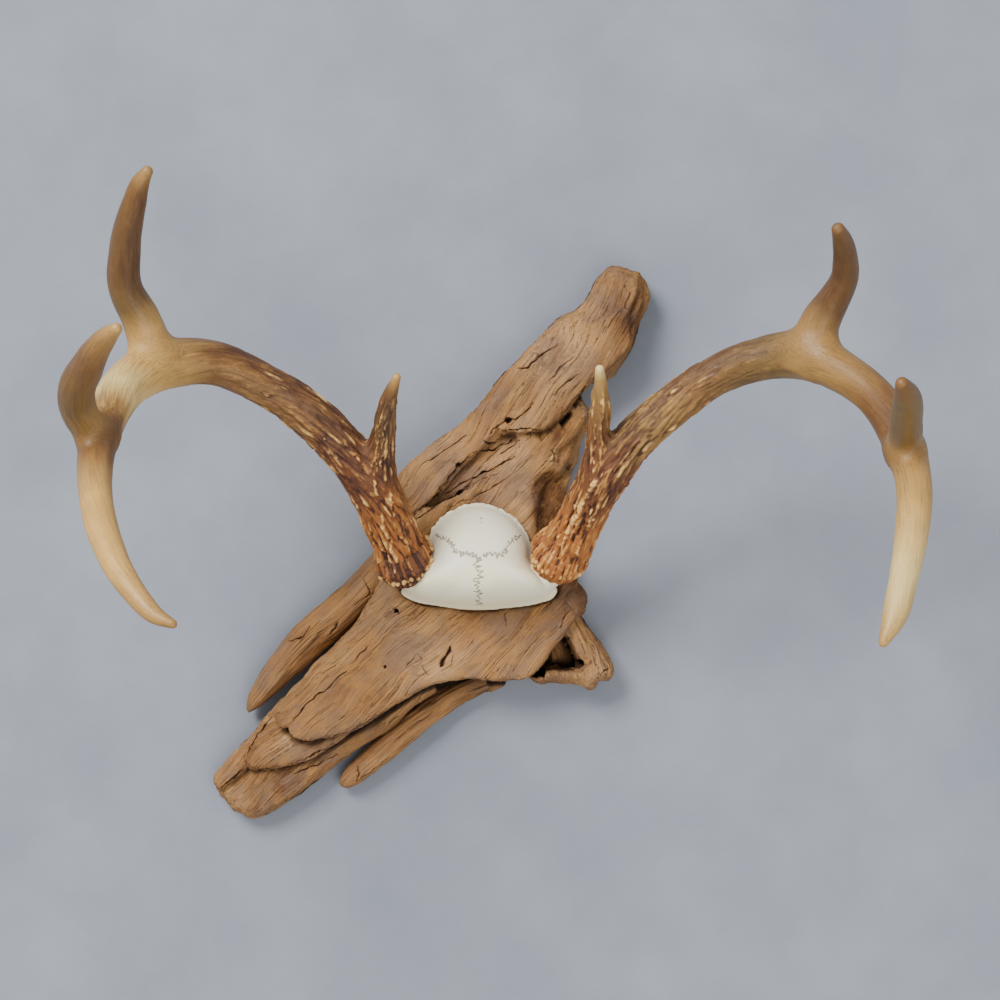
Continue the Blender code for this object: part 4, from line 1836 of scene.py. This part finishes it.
# Splits; the short wide ones paint shade into holes, and the wide ones near (50, 90) into the gap under the
# overhang.
LOG_CRACKS = (
    Crack(((-44, 32), (-32, 41), (-23, 52), (-13, 65), (-5, 72), (3, 77)), 0.6, 4.0),
    Crack(((8, 87), (14, 92), (20, 96), (27, 97), (38, 107)), 0.6, 3.0),
    Crack(((-4, 73), (3, 76), (9, 75), (16, 79), (23, 82)), 0.8, 3.5),
    Crack(((5, 82), (8, 80), (12, 81)), 0.7, 3.0),
    Crack(((-14.5, 64), (-11, 67)), 1.7, 5.0),
    Crack(((18.5, 95), (22.5, 97)), 1.7, 5.0),
    Crack(((-42, 28), (-30, 36), (-19, 43), (-2, 52)), 0.8, 4.5),
    Crack(((-24, 45), (-12, 52), (0, 58), (12, 64), (26, 71)), 0.6, 3.0),
    Crack(((-8, 50), (4, 56), (14, 60)), 0.5, 2.0),
    Crack(((-2, 43), (10, 50), (22, 58)), 0.45, 1.6),
    Crack(((-20, 36), (-6, 42), (4, 47)), 0.4, 1.4),
    Crack(((17, 88), (25, 88.5), (36, 90), (44, 89)), 0.7, 4.0),
    Crack(((43, 85.5), (50, 88), (57, 94), (63, 101), (69, 111), (74, 119)), 2.0, 5.0),
    Crack(((44, 86), (50, 88), (54, 91)), 2.6, 6.0),
    Crack(((54, 91.5), (59, 96), (62, 100)), 2.6, 6.0),
    Crack(((28, 130), (33, 131), (42, 139), (48, 143), (55, 147)), 0.55, 2.5),
    Crack(((-38, 66), (-25, 73), (-15, 80), (-7, 86)), 0.45, 2.0),
    Crack(((46, 120), (52, 126), (58, 134), (66, 139)), 0.45, 1.6),
    Crack(((52, 112), (60, 121), (68, 127)), 0.5, 1.8),
    Crack(
        ((-127, -111), (-120, -102), (-114, -95), (-107, -89), (-100, -85), (-95, -79), (-89, -74)),
        0.6, 3.0,
    ),
    Crack(((-87, -70), (-81, -64), (-74, -58)), 0.5, 2.0),
    Crack(
        (
            (-133, -112), (-128, -114), (-126, -120), (-117, -123), (-106, -122), (-83, -114), (-63, -102),
            (-48, -94),
        ),
        0.5, 2.5,
    ),
    Crack(((-160, -133), (-156, -140), (-150, -143), (-142, -143), (-131, -141), (-120, -138)), 0.6, 3.5),
    Crack(((-138, -104), (-146, -113), (-153, -123), (-158, -132)), 0.6, 2.5),
    Crack(((-176, -155), (-168, -149), (-160, -142)), 0.7, 3.0),
    Crack(((-127, -139), (-117, -135), (-107, -129), (-100, -127), (-95, -125)), 0.6, 2.5),
    Crack(((-126, -146), (-117, -143), (-107, -138), (-97, -133)), 0.6, 2.5),
    Crack(((-49, -72), (-44, -67), (-41, -62), (-39, -65), (-38, -70), (-33, -78)), 0.45, 1.4),
    Crack(((42, -73), (48, -66), (53, -59), (58, -53)), 0.6, 2.0),
    Crack(((49, 68), (52, 69), (52, 73), (50, 76)), 0.5, 1.6),
    Crack(((87, 157), (94, 166), (100, 173), (103, 181), (101, 188)), 0.4, 1.2),
    Crack(((29, 82), (23, 78), (19, 74), (12, 71)), 0.6, 2.0),
    Crack(((60, -34), (57, -43), (56, -53)), 0.4, 1.2),
    Crack(((18, -33), (19, -45)), 0.4, 1.0),
    Crack(((-122, -164), (-101, -147), (-81, -134)), 0.5, 1.5),
    Crack(((-55.5, -34.5), (-54.5, -33.5)), 2.0, 6.0),
    Crack(((-63.4, -72.8), (-62.6, -71.4)), 1.6, 5.0),
    Crack(((-25, -72), (-21.5, -65), (-18.5, -58.5)), 2.3, 2.4),
    Crack(((-16, -62), (-18, -70)), 0.4, 1.2),
)
# The first two are wide and paint shade into the torn hole.
STUB_CRACKS = (
    Crack(((53, -50), (47, -61), (41, -73)), 4.0, 3.0),
    Crack(((44, -74), (56, -74), (66, -75)), 1.8, 2.0),
    Crack(((90, -72), (84, -78), (80, -80)), 0.5, 1.5),
    Crack(((62, -34), (72, -50), (82, -66)), 0.4, 1.2),
)
LEFT_PRONG = (
    (-58, 4, 13, 11), (-74, -15, 13, 12), (-95, -36, 13.5, 13), (-115, -53, 13, 12.5), (-136, -75, 12, 9.8),
    (-149, -91, 11, 7), (-155, -99, 10.3, 4.6), (-157, -102, 10, 2.6),
)
PRONG_CRACKS = (
    Crack(((-129, -55), (-123, -53), (-119, -52), (-114, -45)), 0.7, 2.0),
    Crack(((-101, -50), (-97, -45), (-96, -42)), 0.7, 2.0),
    Crack(((-78, -12), (-74, -22), (-84, -30)), 0.5, 1.6),
)
THIN_PRONG = (
    (7, -84, 10, 6), (-16, -94, 9.5, 7.5), (-40, -110, 9.5, 8.5), (-61, -127, 9.5, 8.6), (-80, -143, 9, 7.6),
    (-88, -149.5, 8.6, 6.6), (-91, -152, 8.5, 5),
)
THIN_CRACKS = (
    Crack(((-84, -153), (-82, -147), (-83, -142)), 0.5, 1.5),
    Crack(((-84, -152), (-70, -142), (-60, -134)), 0.5, 1.5),
    Crack(((-30, -104), (-44, -113), (-58, -124)), 0.4, 1.2),
)
KNOB = (
    (62, -19, 24, 7), (64.5, -23, 28, 8.8), (66, -27, 31, 9.2), (67.5, -30, 33, 8), (68.5, -32.5, 34.5, 5),
)


# ---------------------------------------------------------------- skull cap


@dataclass(frozen=True)
class BoneFinish:
    """Cleaned bone: cream, satin, yellower low down, with brown in its sutures."""

    bone: Colour = srgb(0.97, 0.95, 0.86)
    cream: Colour = srgb(0.98, 0.93, 0.74)
    suture: Colour = srgb(0.34, 0.26, 0.17)
    pore: float = 700.0

    def material(self, name: str) -> bpy.types.Material:
        """Builds the material.

        Args:
            name: The material's name.

        Returns:
            A material that reads the cap's own attributes.
        """
        graph = Graph(name)
        place = graph.position()
        broad = graph.noise(place, 38.0, 4.0, 0.6)
        fine = graph.noise(place, self.pore, 3.0, 0.6)
        yellow = (graph.attribute("yellow") * 0.75 + (broad - 0.5) * 0.9).clamped()
        colour = graph.mix(self.bone, self.cream, yellow)
        stain = graph.attribute("suture")
        colour = graph.mix(colour, self.suture, (stain * (0.55 + 0.6 * fine)).clamped() * 0.85)
        colour = graph.mottled(colour, 0.93 + 0.14 * fine, 0.6)
        graph.set(Base_Color=colour, Roughness=(0.42 + 0.2 * fine + 0.2 * stain).clamped())
        graph.set(Normal=graph.bump(fine * 0.4 + broad * 0.6, 0.35 * MM))
        return graph.material


@dataclass
class SkullCap:
    """The sawn skull cap between the antlers: a thin domed shell with a pedicle under each burr."""

    rim: Points = (
        (-52, -22), (-49, -14), (-43, -6), (-37, 2), (-34, 12), (-31, 22), (-24, 30), (-16, 35.5),
        (-8, 38.5), (0, 39.5), (9, 38.5), (17, 35.5), (25, 30), (32, 22), (36, 12), (38, 1), (43, -7),
        (50, -13), (54, -20), (51, -25.5), (43, -28.5), (29, -31), (14, -32.5), (0, -33.3), (-12, -32.7),
        (-25, -31), (-38, -29), (-46, -26.5),
    )
    base: float = 38.3
    height: float = 35.5
    wall: float = 2.8
    flare: float = 0.08
    face_above: float = 52.0
    tilt: float = math.radians(4)
    hinge: tuple[float, float] = (39.0, 38.0)
    rings: int = 12
    voxel: float = 0.85
    pedicles: tuple[tuple[tuple[float, float, float, float], ...], ...] = (
        ((-38, -14, 47, 10), (-41, -11, 50, 11), (-44, -7, 52.5, 12.3), (-47.6, -2.5, 55, 14)),
        ((42.5, -13, 47, 10), (46, -9, 50, 11), (49.5, -4.5, 52, 12.5), (53.5, 1, 54.5, 14.5)),
    )
    coronal: Points = (
        (-31, 18), (-25, 17), (-19, 14), (-15, 8), (-10, 5), (-5, 6), (1, 3), (7, 6), (13, 5), (19, 7),
        (22, 12), (26, 16), (31, 19),
    )
    frontal: Points = ((1, 3), (0.5, -14), (0.5, -32))
    pits: tuple[tuple[float, float, float], ...] = ((3, 30, 0.8), (3.4, 27, 0.6), (-4, 33.5, 0.4))
    hollows: Points = ((-32, -18), (33, -17), (-18, -20), (20, -19))
    finish: BoneFinish = field(default_factory=BoneFinish)

    def build(self) -> None:
        """Builds the cap."""
        piece = self._shell()
        bm = bmesh.new()
        bm.from_mesh(piece.mesh)
        bpy.data.objects.remove(piece.object)
        for stations in self.pedicles:
            Tube(stations).add_to(bm)
        piece = Piece("skull_cap_bone", bm, merge=False)
        piece.remesh(self.voxel * MM)
        piece.settle(1, 0.4)
        lines = [self._winding(self.coronal, 2.6, 46, 3), self._winding(self.frontal, 3.9, 19, 6)]
        for reach in (1.3, 0.8):
            piece.refine(self._to_lines(piece.points, lines) < reach * MM)
        self._detail(piece, lines)
        piece.finish(self.finish.material("cleaned_bone"), "skull_bone", ("skull_cap",))

    def _shell(self) -> Piece:
        """Makes the dome's thin shell, leaning so that its lower rim stands off the wood.

        Returns:
            The shell, without its pedicles.
        """
        outline = rounded_outline(self.rim, 2.5 * MM)
        bm = bmesh.new()
        verts = [bm.verts.new((x, y, self.base * MM)) for x, y in outline]
        edges = [bm.edges.new(pair) for pair in zip(verts, [*verts[1:], verts[0]])]
        shrink_before, rise_before = 1.0, 0.0
        for ring in range(1, self.rings + 1):
            angle = math.pi / 2 * ring / (self.rings + 0.6)
            rise = math.sin(angle)
            shrink = math.cos(angle) ** 0.72 * (1 - self.flare * (1 - math.exp(-rise / 0.12)))
            verts, edges = drawn_out(bm, edges)
            factor = shrink / shrink_before
            bmesh.ops.scale(bm, verts=verts, vec=(factor, factor, 1))
            bmesh.ops.translate(bm, verts=verts, vec=(0, 0, self.height * (rise - rise_before) * MM))
            shrink_before, rise_before = shrink, rise
        bmesh.ops.contextual_create(bm, geom=edges)
        pivot = Vector((0, self.hinge[0] * MM, self.hinge[1] * MM))
        turn = Matrix.Rotation(-self.tilt, 4, "X")
        lean = Matrix.Translation(pivot) @ turn @ Matrix.Translation(-pivot)
        bmesh.ops.transform(bm, matrix=lean, verts=bm.verts)
        piece = Piece("shell", bm)
        piece.modify("SOLIDIFY", thickness=self.wall * MM, offset=-1.0)
        return piece

    def _winding(self, route: Points, width: float, loops: int, seed: int) -> np.ndarray:
        """Makes a suture's winding line along a route.

        Args:
            route: The route's points in millimetres.
            width: How far the line swings to each side.
            loops: How often it swings.
            seed: What its unevenness is drawn from.

        Returns:
            The line's corners in metres.
        """
        draw = np.random.default_rng(seed)
        line = smooth_line(np.array(route, float) * MM, 0.3 * MM)
        tangents = unit(np.gradient(line, axis=0))
        sides = np.stack([-tangents[:, 1], tangents[:, 0]], axis=1)
        part = np.linspace(0, 1, len(line))
        knots = np.linspace(0, 1, loops * 2 + 1)
        swing = np.where(np.arange(len(knots)) % 2, 1, -1) * draw.uniform(0.05, 1.0, len(knots))
        slip = draw.uniform(-1.5, 1.5, len(knots))
        swing, slip = (np.interp(part, knots, values) * MM for values in (swing * width, slip))
        return line + sides * swing[:, None] + tangents * slip[:, None]

    def _to_lines(self, points: np.ndarray, lines: Sequence[np.ndarray]) -> np.ndarray:
        """Distance to the nearest suture line, as seen from the front.

        Args:
            points: The points.
            lines: The lines' corners.

        Returns:
            The distance at each point, and 1 m where none is near.
        """
        nearest = np.full(len(points), 1.0)
        front = np.flatnonzero(points[:, 2] > self.face_above * MM)
        for line in lines:
            low, high = line.min(0) - 3 * MM, line.max(0) + 3 * MM
            some = front[((points[front, :2] > low) & (points[front, :2] < high)).all(1)]
            apart, _ = to_line(points[some, :2], line)
            nearest[some] = np.minimum(nearest[some], apart)
        return nearest

    def _detail(self, piece: Piece, lines: Sequence[np.ndarray]) -> None:
        """Cuts the sutures and pits, chips the upper rim and hollows the cap's lower corners.

        Args:
            piece: The cap.
            lines: The sutures' corners.
        """
        points, normals = piece.points, piece.normals
        x, y = points[:, 0] / MM, points[:, 1] / MM
        apart = self._to_lines(points, lines)
        noise = Noise(61)
        gaps = eased(noise.at(points / (2.2 * MM)), -0.70, -0.30)
        cut = (1 - eased(apart, 0.15 * MM, 0.6 * MM)) * gaps
        pits = np.zeros(len(points))
        for pit_x, pit_y, radius in self.pits:
            near = np.hypot(x - pit_x, y - pit_y)
            pits = np.maximum(pits, (1 - eased(near, 0.3 * radius, 1.3 * radius)) * (points[:, 2] > 45 * MM))
        hollow = np.zeros(len(points))
        for place_x, place_y in self.hollows:
            hollow += np.exp(-(((x - place_x) / 8) ** 2 + ((y - place_y) / 6) ** 2))
        low = noise.layered(points / (24 * MM), 2)
        rim = (1 - eased(points[:, 2], 40 * MM, 46 * MM)) * eased(y, 12, 26)
        chips = noise.layered(points / (3.5 * MM) + 9, 2) * rim
        height = 0.35 * low - 0.45 * cut - 1.6 * pits - 0.45 * hollow + 1.0 * chips
        piece.points = points + normals * (height * MM)[:, None]
        piece.store("suture", np.maximum(cut, pits * 1.4))
        piece.store("yellow", np.clip(0.35 + 0.4 * eased(-y, 5, 32) + 0.35 * low, 0, 1))


# ---------------------------------------------------------------- fixings


@dataclass(frozen=True)
class SawnWoodFinish:
    """Plain sawn softwood."""

    light: Colour = srgb(0.83, 0.70, 0.52)
    dark: Colour = srgb(0.66, 0.50, 0.33)

    def material(self, name: str) -> bpy.types.Material:
        """Builds the material.

        Args:
            name: The material's name.

        Returns:
            A material with growth rings along X.
        """
        graph = Graph(name)
        place = graph.stretched(graph.position(), (30.0, 220.0, 220.0))
        rings = graph.noise(place, 1.0, 3.0, 0.5)
        fibres = graph.noise(graph.stretched(place, (1.0, 8.0, 8.0)), 1.0, 2.0, 0.5)
        colour = graph.ramp(rings, [(0.35, self.dark), (0.6, self.light)])
        graph.set(Base_Color=colour, Roughness=(0.6 + 0.3 * fibres).clamped())
        graph.set(Normal=graph.bump(fibres, 0.2 * MM))
        return graph.material


@dataclass(frozen=True)
class ZincFinish:
    """Zinc-plated steel, a little dulled."""

    bright: Colour = srgb(0.78, 0.78, 0.76)
    dull: Colour = srgb(0.58, 0.58, 0.57)

    def material(self, name: str) -> bpy.types.Material:
        """Builds the material.

        Args:
            name: The material's name.

        Returns:
            A clouded metal.
        """
        graph = Graph(name)
        cloud = graph.noise(graph.position(), 260.0, 4.0, 0.6)
        colour = graph.ramp(cloud, [(0.35, self.dull), (0.65, self.bright)])
        graph.set(Base_Color=colour, Metallic=1.0, Roughness=(0.28 + 0.3 * cloud).clamped())
        graph.set(Normal=graph.bump(cloud, 0.05 * MM))
        return graph.material


@dataclass
class Fixings:
    """What holds it together behind: the block in the cap, two screws and a hanger with its nails."""

    wooden: tuple[str, ...] = ("mounting_block",)
    metal: tuple[str, ...] = (
        "upper_screw", "lower_screw", "sawtooth_hanger", "left_hanger_nail", "right_hanger_nail",
    )

    def build(self) -> None:
        """Dresses the nodes."""
        sawn, zinc = SawnWoodFinish().material("sawn_wood"), ZincFinish().material("zinc")
        for names, material in ((self.wooden, sawn), (self.metal, zinc)):
            for name in names:
                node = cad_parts[name]
                node.data.materials.clear()
                node.data.materials.append(material)
                log.info("%s: dressed in %s", name, material.name)


# ---------------------------------------------------------------- stage


@dataclass
class Studio:
    """A plain pale floor, soft light and a camera that looks straight down on the mount's face."""

    camera_height: float = 1.9
    camera_place: tuple[float, float] = (15.2 * MM, 41.5 * MM)
    lens: float = 98.8
    sensor: float = 36.0
    floor_size: float = 6.0
    sky: tuple[float, float, float, float] = (1.0, 0.99, 0.97, 1.0)
    sky_strength: float = 0.55

    def build(self) -> None:
        """Adds the floor, the lights, the world and the camera."""
        self._floor()
        self._light("key", (-1.7, 2.1, 2.8), 1.6, 205.0)
        self._light("fill", (1.0, -1.4, 3.0), 2.6, 68.0)
        world = bpy.data.worlds.new("studio")
        world.use_nodes = True
        background = world.node_tree.nodes["Background"]
        background.inputs["Color"].default_value = self.sky
        background.inputs["Strength"].default_value = self.sky_strength
        bpy.context.scene.world = world
        data = bpy.data.cameras.new("camera")
        data.lens, data.sensor_width = self.lens, self.sensor
        data.clip_end = 20.0
        camera = bpy.data.objects.new("camera", data)
        camera.location = (*self.camera_place, self.camera_height)
        bpy.context.scene.collection.objects.link(camera)
        bpy.context.scene.camera = camera

    def _floor(self) -> None:
        """Adds the floor just under the wood's back."""
        bm = bmesh.new()
        drop = Matrix.Translation((0, 0, CAD_BOUNDS[0][2] - 0.3 * MM))
        bmesh.ops.create_grid(bm, x_segments=1, y_segments=1, size=self.floor_size / 2, matrix=drop)
        floor = Piece("floor", bm)
        graph = Graph("pale_floor")
        mottle = graph.noise(graph.position(), 9.0, 5.0, 0.6)
        colour = graph.ramp(mottle, [(0.3, srgb(0.50, 0.525, 0.57)), (0.7, srgb(0.56, 0.58, 0.62))])
        graph.set(Base_Color=colour, Roughness=0.8)
        floor.mesh.materials.append(graph.material)

    def _light(self, name: str, place: tuple[float, float, float], size: float, power: float) -> None:
        """Adds one soft square light that faces the mount.

        Args:
            name: Its name.
            place: Where it stands.
            size: The length of its side.
            power: Its power in watts.
        """
        data = bpy.data.lights.new(name, "AREA")
        data.shape = "SQUARE"
        data.size = size
        data.energy = power
        light = bpy.data.objects.new(name, data)
        light.location = place
        target = Vector((0.0, 0.0, 0.1))
        light.rotation_euler = (target - light.location).to_track_quat("-Z", "Y").to_euler()
        bpy.context.scene.collection.objects.link(light)


def main() -> None:
    """Builds every piece in order."""
    logging.basicConfig(level=logging.INFO, format="%(message)s")
    Antler("left", LEFT_BEAM, LEFT_TINES, 11, LEFT_WELTS).build()
    Antler("right", RIGHT_BEAM, RIGHT_TINES, 47, RIGHT_WELTS).build()
    SkullCap().build()
    Driftwood().build()
    Fixings().build()
    Studio().build()
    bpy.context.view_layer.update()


if __name__ == "__main__":
    main()
